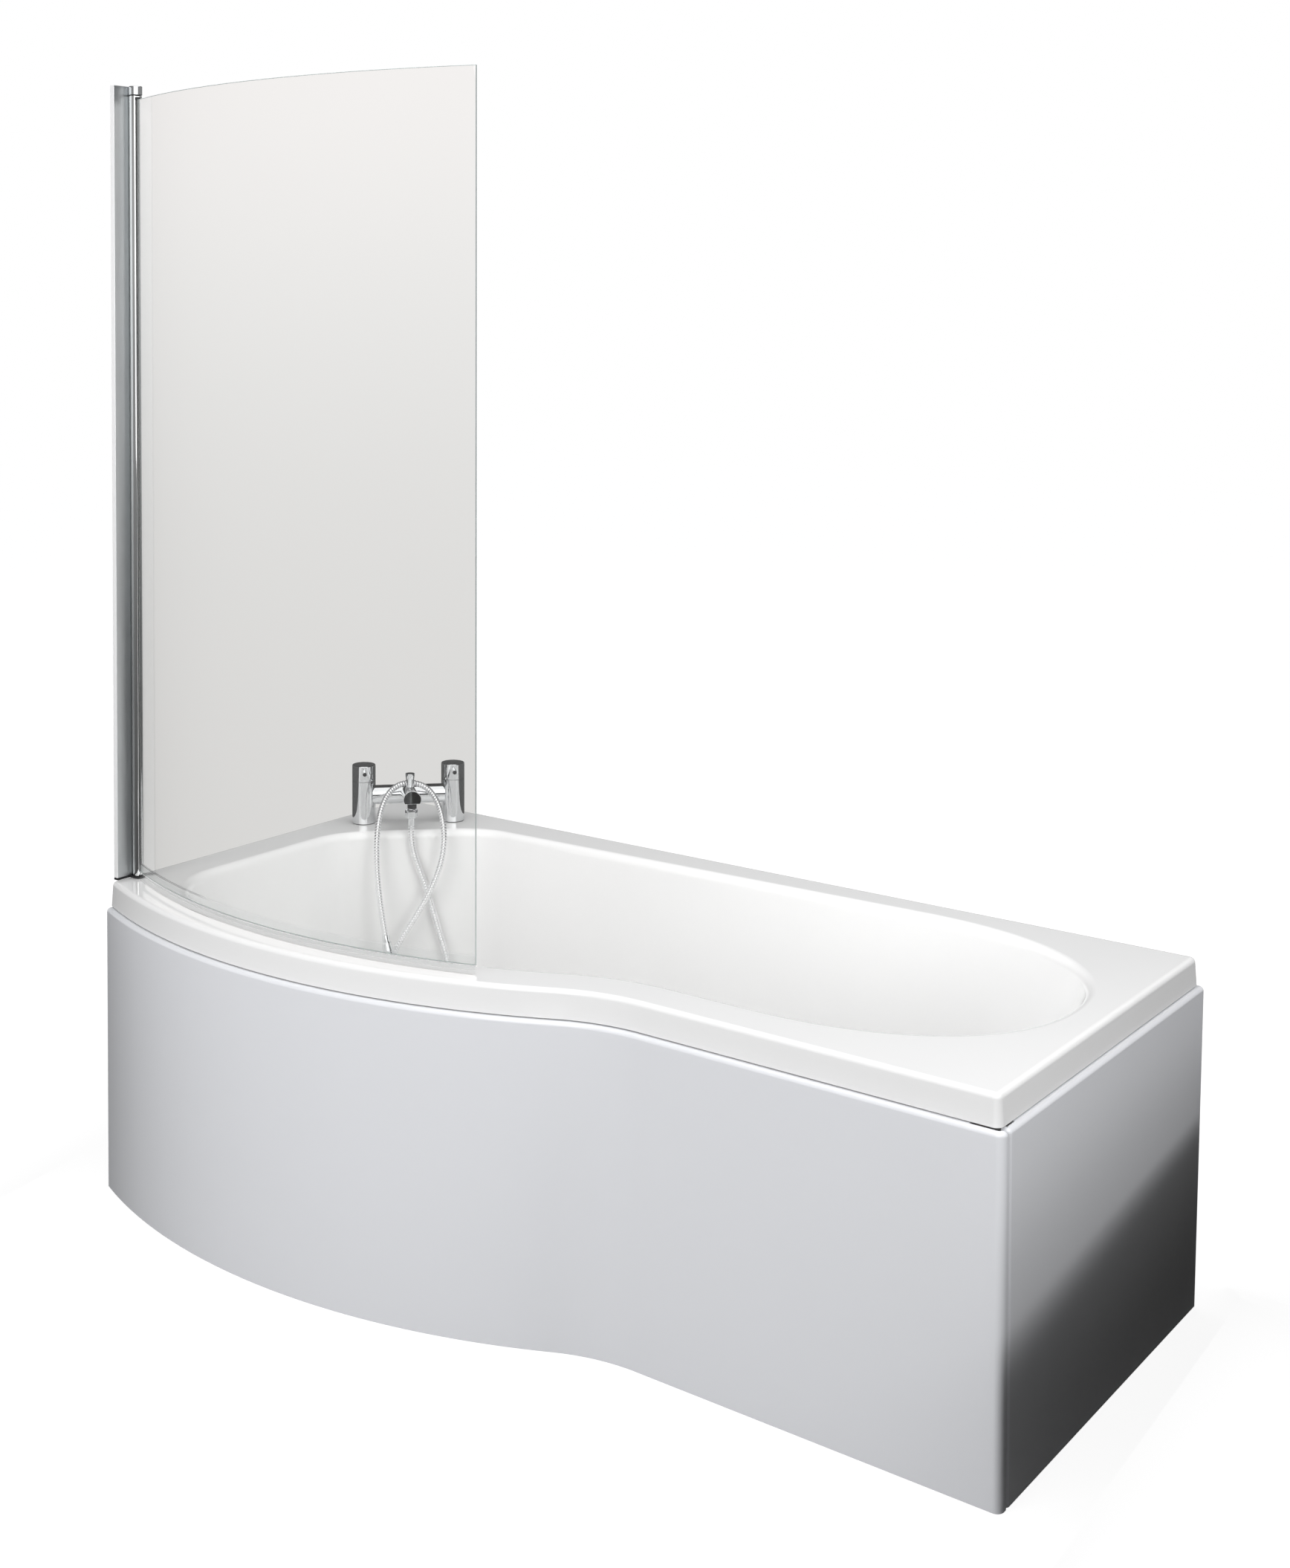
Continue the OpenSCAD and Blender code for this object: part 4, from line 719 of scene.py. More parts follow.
# %% Section of the basin's wall
SHELL_T = 5
LIP_H = 45
LIP_DRAFT = 2.5
EDGE_R = 8
ROLL_R = 16
WALL_DRAFT = 4.3
FLOOR_R = 60
FLOOR_FALL = 4
BACKREST_RUN = 200
BACKREST_CURVE = 1.15
WASTE_X = 1150
WASTE_Y = -(DECK_BACK_FOOT + BATH_W - DECK_FRONT) / 2
WASTE_R = 26
SEAT_R = 45
lip_z = RIM_Z - LIP_H
wall_rad = radians(90 - WALL_DRAFT)
basin_h = RIM_Z - FLOOR_Z - FLOOR_FALL
wall_run = (basin_h - (ROLL_R + FLOOR_R) * (1 - cos(wall_rad))) / sin(wall_rad)
roll_foot = Vector((ROLL_R * sin(wall_rad), ROLL_R * (1 - cos(wall_rad))))
wall_foot = roll_foot + wall_run * Vector((cos(wall_rad), sin(wall_rad)))


def wall_rows(roll_steps, wall_steps, foot_steps):
    """Rows of inset, drop below the deck and slope: the roll, the wall and the curve to the floor."""
    rows = []
    for k in range(roll_steps + 1):
        a = wall_rad * k / roll_steps
        rows.append((ROLL_R * sin(a), ROLL_R * (1 - cos(a)), a))
    for k in range(1, wall_steps + 1):
        rows.append((*roll_foot.lerp(wall_foot, k / wall_steps), wall_rad))
    for k in range(1, foot_steps + 1):
        a = wall_rad * (1 - k / foot_steps)
        inset = wall_foot[0] + FLOOR_R * (sin(wall_rad) - sin(a))
        rows.append((inset, basin_h - FLOOR_R * (1 - cos(a)), a))
    return rows


def pull(drop):
    """How far the backrest has come in at a depth below the deck."""
    return BACKREST_RUN * (max(drop - ROLL_R, 0) / (basin_h - ROLL_R)) ** BACKREST_CURVE


def upper_row(row):
    """An outline of the face that holds the water."""
    return basin_ring(row[0], pull(row[1]), RIM_Z - row[1])


def lower_row(row):
    """The same outline on the hidden side, one wall further out along the slope."""
    inset, drop, slope = row
    return basin_ring(inset - SHELL_T * sin(slope), pull(drop), RIM_Z - drop - SHELL_T * cos(slope))


def seat_ring(outer, r, z):
    """A circle round the waste, with its points in step with those of another outline."""
    middle = place(WASTE_X, WASTE_Y, z)
    ring = []
    for p in outer:
        way = Vector((p[0] - middle[0], p[1] - middle[1])).normalized() * r * MM
        ring.append(middle + Vector((*way, 0)))
    return ring


def between(first, last, shares):
    """Outlines at shares of the way from one outline to another."""
    return [[p.lerp(q, share) for p, q in zip(first, last)] for share in shares]


# %% Skin of the tub
upper = [upper_row(row) for row in wall_rows(8, 8, 9)]
lower = [lower_row(row) for row in wall_rows(3, 3, 3)]
EDGE_STEPS = 6
edge = []
for a in quarter(EDGE_STEPS):
    edge.append(rim_ring(LIP_DRAFT + EDGE_R * (1 - cos(a)), RIM_Z - EDGE_R * (1 - sin(a))))
HOLD = 1.5
deck = [rim_ring(LIP_DRAFT + EDGE_R + HOLD, RIM_Z), basin_ring(-HOLD, 0, RIM_Z)]
floor_outer = upper[-1]
seat = seat_ring(floor_outer, SEAT_R, FLOOR_Z)
lip = [
    rim_ring(LIP_DRAFT + SHELL_T, RIM_Z - SHELL_T), rim_ring(SHELL_T + 0.1, lip_z + 1),
    rim_ring(SHELL_T - 0.8, lip_z), rim_ring(0.8, lip_z), rim_ring(0.05, lip_z + 1),
]
tub_rings = (
    [seat_ring(lower[-1], WASTE_R, FLOOR_Z - SHELL_T), seat_ring(lower[-1], SEAT_R, FLOOR_Z - SHELL_T)]
    + lower[::-1] + lip + edge + deck + upper
    + between(floor_outer, seat, (0.02, 0.25, 0.6, 0.97)) + [seat]
    + [seat_ring(floor_outer, WASTE_R + 0.5, FLOOR_Z), seat_ring(floor_outer, WASTE_R, FLOOR_Z - 0.5)]
)
tub = skin("bath_tub", tub_rings, closed=True, smooth=40)

# %% [markdown]
# Holes come last, as they are drilled last in the workshop: two for the mixer's tails, one for
# the overflow. A cutter is a plain cylinder, and a Boolean modifier takes it away.


# %% Drill the tub
def cylinder(name, r, h, bench, sides=64):
    """A cylinder with its foot on its bench, as a cutter or as the start of a piece."""
    bpy.ops.object.select_all(action="DESELECT")
    middle = (0, 0, h * MM / 2)
    bpy.ops.mesh.primitive_cylinder_add(vertices=sides, radius=r * MM, depth=h * MM, location=middle)
    obj = bpy.context.active_object
    obj.name = name
    return settle(obj, bench)


def combine(obj, tool, operation):
    """Joins a tool to a piece or cuts it out of it, and deletes the tool."""
    modifier = obj.modifiers.new(operation.lower(), "BOOLEAN")
    modifier.operation = operation
    modifier.solver = "EXACT"
    modifier.object = tool
    apply_modifiers(obj)
    bpy.data.objects.remove(tool)


def drill(obj, r, h, bench, sides=64):
    """Takes a round hole or recess out of a piece, from its bench upwards."""
    combine(obj, cylinder("drill", r, h, bench, sides), "DIFFERENCE")


TAP_HOLE_R = 16
TAP_HOLE_H = 12
OVERFLOW_HOLE_R = 22
OVERFLOW_HOLE_H = 40
OVERFLOW_Z = 455
overflow_in = (RIM_Z - OVERFLOW_Z - ROLL_R) * tan(radians(WALL_DRAFT)) + ROLL_R
OVERFLOW = stand(WASTE_X, -(BATH_W - DECK_FRONT - overflow_in), OVERFLOW_Z, 0, 90 + WALL_DRAFT)
for bench in (HOT, COLD):
    drill(tub, TAP_HOLE_R, TAP_HOLE_H, shifted(bench, 0, 0, -SHELL_T - 3))
drill(tub, OVERFLOW_HOLE_R, OVERFLOW_HOLE_H, shifted(OVERFLOW, 0, 0, -OVERFLOW_HOLE_H / 2))
dress(tub, "acrylic", "bath", "bath_shell")

# %% [markdown]
# ## The panels
#
# Both panels are bent acrylic sheet. The section rises from the floor, rolls over at the top and
# runs back under the lip of the bath. It is carried along the plan of the front, round the corner
# and a little way along the end, where the end panel takes over behind a narrow joint.

# %% Section and plan of the panels
PANEL_T = 3.5
PANEL_ROLL = 7
TOP_FLANGE = 30
FOOT_FLANGE = 18
PANEL_CORNER_R = 12
PANEL_RETURN = 18
PANEL_JOINT = 3
SCRIBE = 26
PANEL_GAP = 1.5
panel_z = lip_z - PANEL_GAP
panel_face = BATH_W + PANEL_OUT
end_face = BATH_LEN + PANEL_OUT
ROLL_STEPS = 8


def panel_section(flange, foot, drop=0.0):
    """Section of a panel: x is 0 on its face and negative behind it."""
    top = panel_z - drop
    rows = []
    for depth in (0, PANEL_T):
        r = PANEL_ROLL - depth
        line = [(-foot, depth), (-depth, depth), (-depth, panel_z * 0.5)]
        for a in quarter(ROLL_STEPS):
            line.append((r * cos(a) - PANEL_ROLL, top - PANEL_ROLL + r * sin(a)))
        rows.append(line + [(-flange, top - depth)])
    return rows[0] + rows[1][::-1]


def carried(stations):
    """Outlines of the section at stations of (x, y, outward degrees, flange, foot, drop)."""
    outlines = []
    for x, y, out, flange, foot, drop in stations:
        way = (cos(radians(out)), sin(radians(out)))
        section = panel_section(flange, foot, drop)
        outlines.append([place(x + s * way[0], y + s * way[1], z) for s, z in section])
    return outlines


TRIM = PANEL_ROLL + 1
BROAD = (TOP_FLANGE, FOOT_FLANGE)
NARROW = (TRIM, TRIM)


def along_arc(centre, r, start, end, steps, inwards=0):
    """Stations along an arc of the plan, whose face looks outwards, or inwards at 180."""
    found = []
    for k in range(steps + 1):
        a = start + (end - start) * k / steps
        x = centre[0] + r * cos(radians(a))
        found.append((x, centre[1] + r * sin(radians(a)), a + inwards, *BROAD, 0))
    return found


def round_corner(r, y, steps):
    """Stations round an upright corner, from the front at y to the face of the end."""
    found = []
    for k in range(steps + 1):
        a = 270 + 90 * k / steps
        x = end_face - r * (1 - cos(radians(a)))
        found.append((x, y + r * (1 + sin(radians(a))), a, *NARROW, 0))
    return found


# %% Front panel
FLANGE_STOP = 45
RETURN_ROUND = 5.5
big_r = BULGE_R + PANEL_OUT
first_deg = 180 + degrees(acos((BULGE_X - 1) / big_r))
stations = along_arc(bulge_c, big_r, first_deg, join_deg, 88)
stations += along_arc(blend_c, BLEND_R - PANEL_OUT, join_deg - 180, 90, 28, 180)[1:]
stations.append((BATH_LEN - FLANGE_STOP, -panel_face, 270, *BROAD, 0))
stations.append((BATH_LEN - FLANGE_STOP + 1, -panel_face, 270, *NARROW, 0))
stations += round_corner(PANEL_CORNER_R, -panel_face, 12)
return_end = -(panel_face - PANEL_RETURN)
for a in quarter(8):
    y = return_end - RETURN_ROUND * (1 - sin(a))
    stations.append((end_face, y, 360, *NARROW, RETURN_ROUND * (1 - cos(a))))
front_panel = skin("front_panel_moulded", carried(stations), smooth=35)
dress(front_panel, "panel", "bath", "front_panel")

# %% End panel
END_ROUND = 6.5
FLANGE_START = 30
front_y = -(panel_face - PANEL_RETURN - PANEL_JOINT)
stations = [(end_face - 2 * PANEL_ROLL, front_y, 270, PANEL_T + 0.1, PANEL_T + 0.1, 0)]
stations += round_corner(END_ROUND, front_y, 10)
stations.append((end_face, front_y + FLANGE_START, 360, *NARROW, 0))
for y in (front_y + FLANGE_START + 1, front_y / 2, 0):
    stations.append((end_face, y, 360, *BROAD, 0))
rings = carried(stations)
# The rear edge leans back from the wall towards the floor, where it is scribed over a skirting.
back_y = place(0, 0, 0)[1]
for point in rings[-1]:
    point[1] = back_y - (1 + (SCRIBE - 1) * (1 - point[2] / (panel_z * MM))) * MM
end_panel = skin("end_panel_moulded", rings, smooth=35)
dress(end_panel, "panel", "bath", "end_panel")

# %% [markdown]
# ## The screen
#
# A sheet of toughened glass, curved to follow the bulge, stands in the slot of a round tube that
# turns on two pins. A clear seal hugs its foot. The glass is one section carried along an arc.
# Its edges are ground, so they get a duller finish of their own, and small chamfers along the top
# and the foot. That is where real glass looks dark or bright.

# %% Place and arc of the glass
HINGE_X = 22
HINGE_INSET = 52.8
SCREEN_INSET = 38.4
TUBE_R = 11.4
GLASS_W = 826
GLASS_H = 1395
GLASS_T = 6
GLASS_R = 1094
SEAL_DROP = 14.7
SEAL_GRIP = 15
SEAL_BED = 0.3
to_middle = BULGE_R - HINGE_INSET
to_edge = BULGE_R - SCREEN_INSET
hinge_y = sqrt(to_middle**2 - (BULGE_X - HINGE_X) ** 2) - bulge_cy
screen_turn = degrees(acos((GLASS_W**2 + to_middle**2 - to_edge**2) / (2 * GLASS_W * to_middle)))
screen_yaw = degrees(atan2(bulge_cy + hinge_y, BULGE_X - HINGE_X)) - screen_turn
SCREEN = stand(HINGE_X, -hinge_y, 0, screen_yaw)
glass_z = RIM_Z + SEAL_DROP + SEAL_BED
glass_top = glass_z + GLASS_H
glass_rise = sqrt(GLASS_R**2 - (GLASS_W / 2) ** 2)
glass_a0 = 180 + degrees(atan2(glass_rise, GLASS_W / 2))
glass_a1 = 360 - degrees(atan2(glass_rise, GLASS_W / 2))
SLOT_R = 6.4
print("screen yaw, degrees:", round(screen_yaw, 3), "hinge y, mm:", round(hinge_y, 2))


def along_glass(section, skip, steps=96):
    """Outlines of a section (across the glass, up) along its arc, from skip mm off the hinge."""
    start = glass_a0 + degrees(skip / GLASS_R)
    outlines = []
    for k in range(steps + 1):
        a = radians(start + (glass_a1 - start) * k / steps)
        outline = []
        for across, up in section:
            r = GLASS_R + across
            outline.append(Vector((GLASS_W / 2 + r * cos(a), glass_rise + r * sin(a), glass_z + up)) * MM)
        outlines.append(outline)
    return outlines


# %% Glass and seal
GRIND = 0.7
GROUND_AREA = 0.009  # square metres: the two bent faces of the pane are larger, its edges smaller
half = GLASS_T / 2
glass_section = [
    (half, GRIND), (half, GLASS_H - GRIND), (half - GRIND, GLASS_H), (GRIND - half, GLASS_H),
    (-half, GLASS_H - GRIND), (-half, GRIND), (GRIND - half, 0), (half - GRIND, 0),
]
pane = settle(skin("screen_pane", along_glass(glass_section, SLOT_R + 1.3), smooth=20), SCREEN)
dress(pane, "glass", "screen", "screen_glass")
pane.data.materials.append(ground_edge)
for face in pane.data.polygons:
    face.material_index = 0 if face.area > GROUND_AREA else 1

GASKET_OUT = TUBE_R + 5
SEAL_T = 1
inner = half + 0.1
outer = inner + SEAL_T
seal_section = [
    (outer, -SEAL_DROP), (outer, SEAL_GRIP), (inner, SEAL_GRIP), (inner, -0.2), (-inner, -0.2),
    (-inner, SEAL_GRIP), (-outer, SEAL_GRIP), (-outer, 4 - SEAL_DROP), (-inner, 4 - SEAL_DROP),
    (-inner, -1.2), (inner, -1.2), (inner, -SEAL_DROP),
]
seal = settle(skin("foot_seal", along_glass(seal_section, GASKET_OUT + 0.5), smooth=20), SCREEN)
dress(seal, "clear_plastic", "screen", "bottom_seal")

# %% [markdown]
# The gasket keeps its solid. It is pale inside the slot and has a black lip on the glass, and its
# finish tells the two apart by how far a point lies from the axis of the tube.

# %% Black lip of the gasket
LIP_FROM = 3
PALE = (0.84, 0.84, 0.84)
LIP_BLACK = (0.016, 0.016, 0.016)
black_lip = finish("pale gasket with a black lip", PALE, 0.35, ripple=(0.1, 900), mottle=(0.02, 6))
nodes = black_lip.node_tree.nodes
away = add(nodes, "VectorMath", {1: place(HINGE_X, -hinge_y, 0)})
away.operation = "SUBTRACT"
wire(nodes["Texture Coordinate"].outputs["Object"], away, 0)
level_only = add(nodes, "VectorMath", {1: (1, 1, 0)})
level_only.operation = "MULTIPLY"
wire(away.outputs["Vector"], level_only, 0)
reach = add(nodes, "VectorMath")
reach.operation = "LENGTH"
wire(level_only.outputs["Vector"], reach, 0)
beyond = add(nodes, "Math", {1: (TUBE_R + LIP_FROM) * MM})
beyond.operation = "GREATER_THAN"
wire(reach.outputs["Value"], beyond, 0)
two_tone = colour_mix(nodes)
dial(two_tone, {"B": (*LIP_BLACK, 1)})
wire(beyond.outputs["Value"], two_tone, "Factor")
wire(nodes["Mix"].outputs["Result"], two_tone, "A")
wire(two_tone.outputs["Result"], nodes["Principled BSDF"], "Base Color")
frame["nodes"]["glass_gasket"].data.materials[0] = black_lip

# %% Hinge tube
TUBE_LIFT = 6
TUBE_OVER = 8
SLOT_PLAY = 2.4
tube_z = RIM_Z + TUBE_LIFT
tube_top = glass_top + TUBE_OVER
slot_half = (GLASS_T + SLOT_PLAY) / 2
glass_heading = glass_a0 + 90
mouth = degrees(atan2(slot_half, sqrt(TUBE_R**2 - slot_half**2)))
tube_plan = bow((0, 0), TUBE_R, glass_heading + mouth, glass_heading + 360 - mouth, 72, whole=True)
way = Vector((cos(radians(glass_heading)), sin(radians(glass_heading))))
across = Vector((-way[1], way[0]))
tube_plan += [way * SLOT_R - across * slot_half, way * SLOT_R + across * slot_half]
tube = drawn("hinge_tube_slotted", tube_plan, SCREEN, tube_z, tube_top, smooth=25)
dress(tube, "silver", "screen", "hinge_tube")
tube.data.materials[0] = bright

# %% [markdown]
# ## The wall profile and its caps
#
# An aluminium extrusion is screwed to the wall. It runs up beside the top cap, of which only the
# round eye shows. The foot cap is black, and its tongue reaches back under the profile. Cast and
# extruded edges are never sharp, so each gets a small bevel, which catches a thin line of light.
# The narrow face that looks at the room is polished. Its near-white, hardly metallic finish is a painted
# reflection of the bright room that such a face shows.


# %% Bevels
BEVEL_STEPS = 3
BEVEL_FROM = radians(35)


def soften(obj, width):
    """Rounds the sharp edges of a piece by a bevel, width in mm."""
    modifier = obj.modifiers.new("bevel", "BEVEL")
    modifier.width = width * MM
    modifier.segments = BEVEL_STEPS
    modifier.limit_method = "ANGLE"
    modifier.angle_limit = BEVEL_FROM
    apply_modifiers(obj)
    bpy.ops.object.shade_smooth_by_angle(angle=BEVEL_FROM)
    return obj


# %% Profile and caps
PROFILE_W = 55
FRONT_SHARE = 0.73
FACING_ROOM = -0.6
MOVE_GAP = 0.5
PORT_IN = 7
PORT_R = 3
CAP_H = 16
CAP_LIFT = 1
BUSH_FLANGE = 1
EYE_R = TUBE_R + 0.6
profile_d = HINGE_X - TUBE_R - MOVE_GAP
profile_front = FRONT_SHARE * PROFILE_W
profile_back = PROFILE_W - profile_front
cap_z = tube_top + BUSH_FLANGE + MOVE_GAP
low_cap_z = RIM_Z + CAP_LIFT
low_cap_top = tube_z - BUSH_FLANGE - MOVE_GAP
at_hinge = stand(HINGE_X, -hinge_y, 0)
profile_plan = [
    (-HINGE_X, -profile_front), (profile_d - HINGE_X, -profile_front),
    (profile_d - HINGE_X, profile_back), (-HINGE_X, profile_back),
]
wall_profile = drawn("wall_profile_drawn", profile_plan, at_hinge, low_cap_top + 0.2, cap_z + CAP_H)
for y in (PORT_IN, PROFILE_W - PORT_IN):
    port = shifted(at_hinge, profile_d / 2 - HINGE_X, y - profile_front, cap_z + CAP_H - 2)
    drill(wall_profile, PORT_R, 3, port, 32)
dress(soften(wall_profile, 0.9), "silver", "bath", "wall_profile")
wall_profile.data.materials[0] = anodised
# Faces that look at the room take the painted reflection, a near-white finish in place of a mirror.
wall_profile.data.materials.append(painted_highlight_face)
for face in wall_profile.data.polygons:
    face.material_index = 1 if face.normal[1] < FACING_ROOM else 0

eye_back = 0.2 - TUBE_R - MOVE_GAP
eye_plan = [(max(x, eye_back), y) for x, y in bow((0, 0), EYE_R, 0, 360, 90)]
top_cap = drawn("hinge_top_cap_cast", eye_plan, at_hinge, cap_z, cap_z + CAP_H)
dress(soften(top_cap, 0.9), "chrome", "bath", "hinge_top_cap")

tongue = profile_d + 1 - HINGE_X
low_plan = [(-HINGE_X, -profile_front), (tongue, -profile_front), (tongue, -TUBE_R)]
low_plan += bow((0, 0), TUBE_R, -90, 90, 36, whole=True)
low_plan += [(tongue, TUBE_R), (tongue, profile_back), (-HINGE_X, profile_back)]
low_cap = drawn("hinge_foot_cap_moulded", low_plan, at_hinge, low_cap_z, low_cap_top)
dress(soften(low_cap, 0.4), "black_plastic", "bath", "hinge_bottom_cap")

# %% [markdown]
# ## The mixer
#
# The body is two pillars on the deck, a round bridge between them and a spout of D section. On the
# real thing they are castings, machined, soldered and plated as one, so the pieces are joined by
# Boolean unions into a single skin. A turned cap with a lever pin sits on each pillar.

# %% Body of the mixer
PILLAR_R = 23.5
PILLAR_H = 86
BRIDGE_R = 19
BRIDGE_Z = 56
SPOUT_L = 130
SPOUT_R = 17.5
SPOUT_FLOOR = 8.5
SPOUT_RISE = 8
WASHER_T = 1.5
HEADWORK_R = 14
HEADWORK_H = 34
BRIDGE_IN = 17
bridge_bench = tipped(shifted(MIXER, BRIDGE_IN - TAP_PITCH / 2, 0, BRIDGE_Z), 90, "Y")
body = cylinder("mixer_casting", BRIDGE_R, TAP_PITCH - 2 * BRIDGE_IN, bridge_bench, 96)
d_half = degrees(acos(SPOUT_FLOOR / SPOUT_R))
d_plan = bow((0, 0), SPOUT_R, -90 + d_half, 270 - d_half, 48, whole=True)
spout_bench = tipped(shifted(MIXER, 0, 0, BRIDGE_Z), 90 - SPOUT_RISE, "X")
spout_ends = []
for shrink, z in ((0, 0), (0, SPOUT_L - 1.2), (0.35, SPOUT_L - 0.35), (1.2, SPOUT_L)):
    spout_ends.append([Vector((*(p * (1 - shrink / SPOUT_R)), z)) * MM for p in d_plan])
spout = settle(skin("spout", spout_ends), spout_bench)
combine(body, spout, "UNION")
for bench in (HOT, COLD):
    pillar = cylinder("pillar", PILLAR_R, PILLAR_H - WASHER_T, shifted(bench, 0, 0, WASHER_T), 96)
    combine(body, pillar, "UNION")
    drill(body, HEADWORK_R, HEADWORK_H + 6, shifted(bench, 0, 0, PILLAR_H - HEADWORK_H))
bpy.ops.object.shade_smooth_by_angle(angle=radians(30))
dress(body, "chrome", "bath", "mixer_body")

# %% Handles and lever pins
HANDLE_H = 32
LEVER_R = 4.2
LEVER_L = 22.5
LEVER_SEAT = 10
LEVER_DROP = 11
lever_z = PILLAR_H + HANDLE_H - LEVER_DROP
outwards = (MIXER.to_3x3() @ Vector((0, -1, 0))).normalized()
handle_section = eased([
    (CORE, MOVE_GAP, 0), (PILLAR_R, MOVE_GAP, 0.5), (PILLAR_R, HANDLE_H, 1.6), (CORE, HANDLE_H, 0),
], 5, loop=False)
pin_section = eased([
    (CORE, 0, 0), (LEVER_R, 0, 0), (LEVER_R, LEVER_L + LEVER_SEAT, 0.35), (CORE, LEVER_L + LEVER_SEAT, 0),
], 4, loop=False)
for bench, side in ((HOT, "hot"), (COLD, "cold")):
    cap = turned(side + "_handle_cap", handle_section, shifted(bench, 0, 0, PILLAR_H), 96)
    dress(cap, "chrome", side + "_tap", side + "_handle")
    pin_bench = tipped(shifted(bench, 0, LEVER_SEAT - PILLAR_R, lever_z), 90, "X")
    pin = turned(side + "_lever", pin_section, pin_bench, 32)
    dress(pin, "chrome", side + "_tap", side + "_pin")
    # The outer end face of each pin takes the black finish, which makes the pin's end read dark.
    pin.data.materials.append(black_plastic)
    for face in pin.data.polygons:
        face.material_index = 1 if face.normal.dot(outwards) > 0.99 else 0

# %% Diverter knob
KNOB_D = 53
KNOB_H = 27
KNOB_R = 9.2
knob_z = BRIDGE_Z + (KNOB_D + 6) * tan(radians(SPOUT_RISE)) + SPOUT_R / cos(radians(SPOUT_RISE))
knob_section = eased([
    (CORE, 0, 0), (7.9, 0, 0.4), (8.1, 16, 20), (KNOB_R, 23, 8), (KNOB_R, KNOB_H, 0.8), (CORE, KNOB_H, 0),
], 4, loop=False)
knob = turned("diverter_knob_turned", knob_section, shifted(MIXER, 0, -KNOB_D, knob_z + 0.5), 48)
dress(knob, "chrome", "diverter", "diverter_knob")

# %% [markdown]
# ## The handset
#
# The handset hangs inside the basin, where the photograph shows only its nut. It is a plain one: a
# swelling handle and a round head that leans forward, with rubber nozzles in a face plate.

# %% Handset
HANDSET_L = 180
HEAD_R = 33
HEAD_LEAN = 75
NECK_R = 7.5
grip_z = FERRULE_L + CONE_L
grip_end = grip_z + HANDSET_L - HEAD_R
grip_section = eased([
    (CORE, grip_z, 0), (CONE_R, grip_z, 0.8), (12.6, grip_z + 30, 40), (13, grip_z + 90, 60),
    (10.5, grip_z + 125, 60), (NECK_R, grip_end - 4, 10), (NECK_R, grip_end, 0), (CORE, grip_end, 0),
], 6, loop=False)
handset = turned("handset_shell", grip_section, HANDSET, 48)
at_head = tipped(shifted(HANDSET, 0, 0, grip_end), HEAD_LEAN, "Y")
head_section = eased([
    (CORE, -6, 0), (0.7 * HEAD_R, -6, 3), (HEAD_R, 5.5, 3), (HEAD_R, 8, 0.6), (CORE, 8, 0),
], 6, loop=False)
combine(handset, turned("head", head_section, at_head, 72), "UNION")
bpy.ops.object.shade_smooth_by_angle(angle=radians(30))
dress(handset, "chrome", "bath", "handset_body")

FACE_R = HEAD_R - 3
FACE_Z = 8.2
FACE_TOP = 10
face_section = eased([
    (CORE, FACE_Z, 0), (FACE_R, FACE_Z, 0), (FACE_R, FACE_TOP, 0.6), (CORE, FACE_TOP, 0),
], 3, loop=False)
face = turned("handset_face", face_section, at_head, 72)
NOZZLE_R = 1.1
NOZZLE_H = 0.9
nozzles = []
for ring, count in ((9, 6), (17, 12), (25, 18)):
    for a in round_angles(count):
        at = shifted(at_head, ring * cos(a), ring * sin(a), FACE_TOP - 0.2)
        nozzles.append(cylinder("nozzle", NOZZLE_R, NOZZLE_H, at, 12))
pick(face)
for nozzle in nozzles:
    nozzle.select_set(True)
bpy.ops.object.join()
face_slot = next(part["material_slot"] for part in subparts if part["node"] == "handset_faceplate")
dress(face, face_slot, "bath", "handset_faceplate")

# %% [markdown]
# ## Waste and overflow
#
# Both lie out of the camera's sight, on the floor of the basin and high on its front wall. They
# are turned chrome pieces. The plug is sprung, so its stem comes with it.

# %% Waste flange, plug and overflow rose
FLANGE_R = 36
OUTLET_R = 23.9
ROSE_HOLES_AT = 15
ROSE_HOLE_R = 3.5
at_waste = stand(WASTE_X, WASTE_Y, FLOOR_Z)
flange_section = eased([
    (OUTLET_R + 1.1, 0.2, 0), (FLANGE_R, 0.2, 0.1), (FLANGE_R, 1, 0.4), (FLANGE_R - 4, 2.5, 2),
    (OUTLET_R + 1.1, 2.5, 0.4),
], 4)
flange = turned("waste_flange_turned", flange_section, at_waste, 96, closed=True)
dress(flange, "chrome", "bath", "waste_flange")
plug_section = eased([
    (CORE, -32, 0), (3, -32, 0.5), (3, 3.2, 0), (OUTLET_R - 1, 3.2, 0.3), (OUTLET_R, 4.7, 0.6),
    (OUTLET_R - 3, 7.2, 2), (0.5 * OUTLET_R, 7.9, 12), (CORE, 8.2, 0),
], 5, loop=False)
dress(turned("waste_plug_turned", plug_section, at_waste, 96), "chrome", "plug", "waste_plug")
rose_section = eased([
    (CORE, 0.8, 0), (18, 0.6, 8), (22, 0, 2), (26, 0, 1), (30, 2, 1), (30, 5.5, 0.3), (CORE, 5.5, 0),
], 4, loop=False)
at_rose = shifted(OVERFLOW, 0, 0, -6)
rose = turned("overflow_rose_pressed", rose_section, at_rose, 96)
for x, y in bow((0, 0), ROSE_HOLES_AT, 0, 360, 6):
    drill(rose, ROSE_HOLE_R, 10, shifted(at_rose, x, y, -1), 32)
bpy.ops.object.shade_smooth_by_angle(angle=radians(30))
dress(rose, "chrome", "bath", "overflow_rose")

# %% [markdown]
# ## Studio
#
# The picture's background is white, but polished metal shows the room it stands in: a pale
# backdrop near the horizon between a dark ceiling and a dark floor, broken by soft boxes. One
# world does most of it. It is white for the camera, pale grey for what is seen through glass,
# graded for reflections, and an even level for the light that falls on the bath.


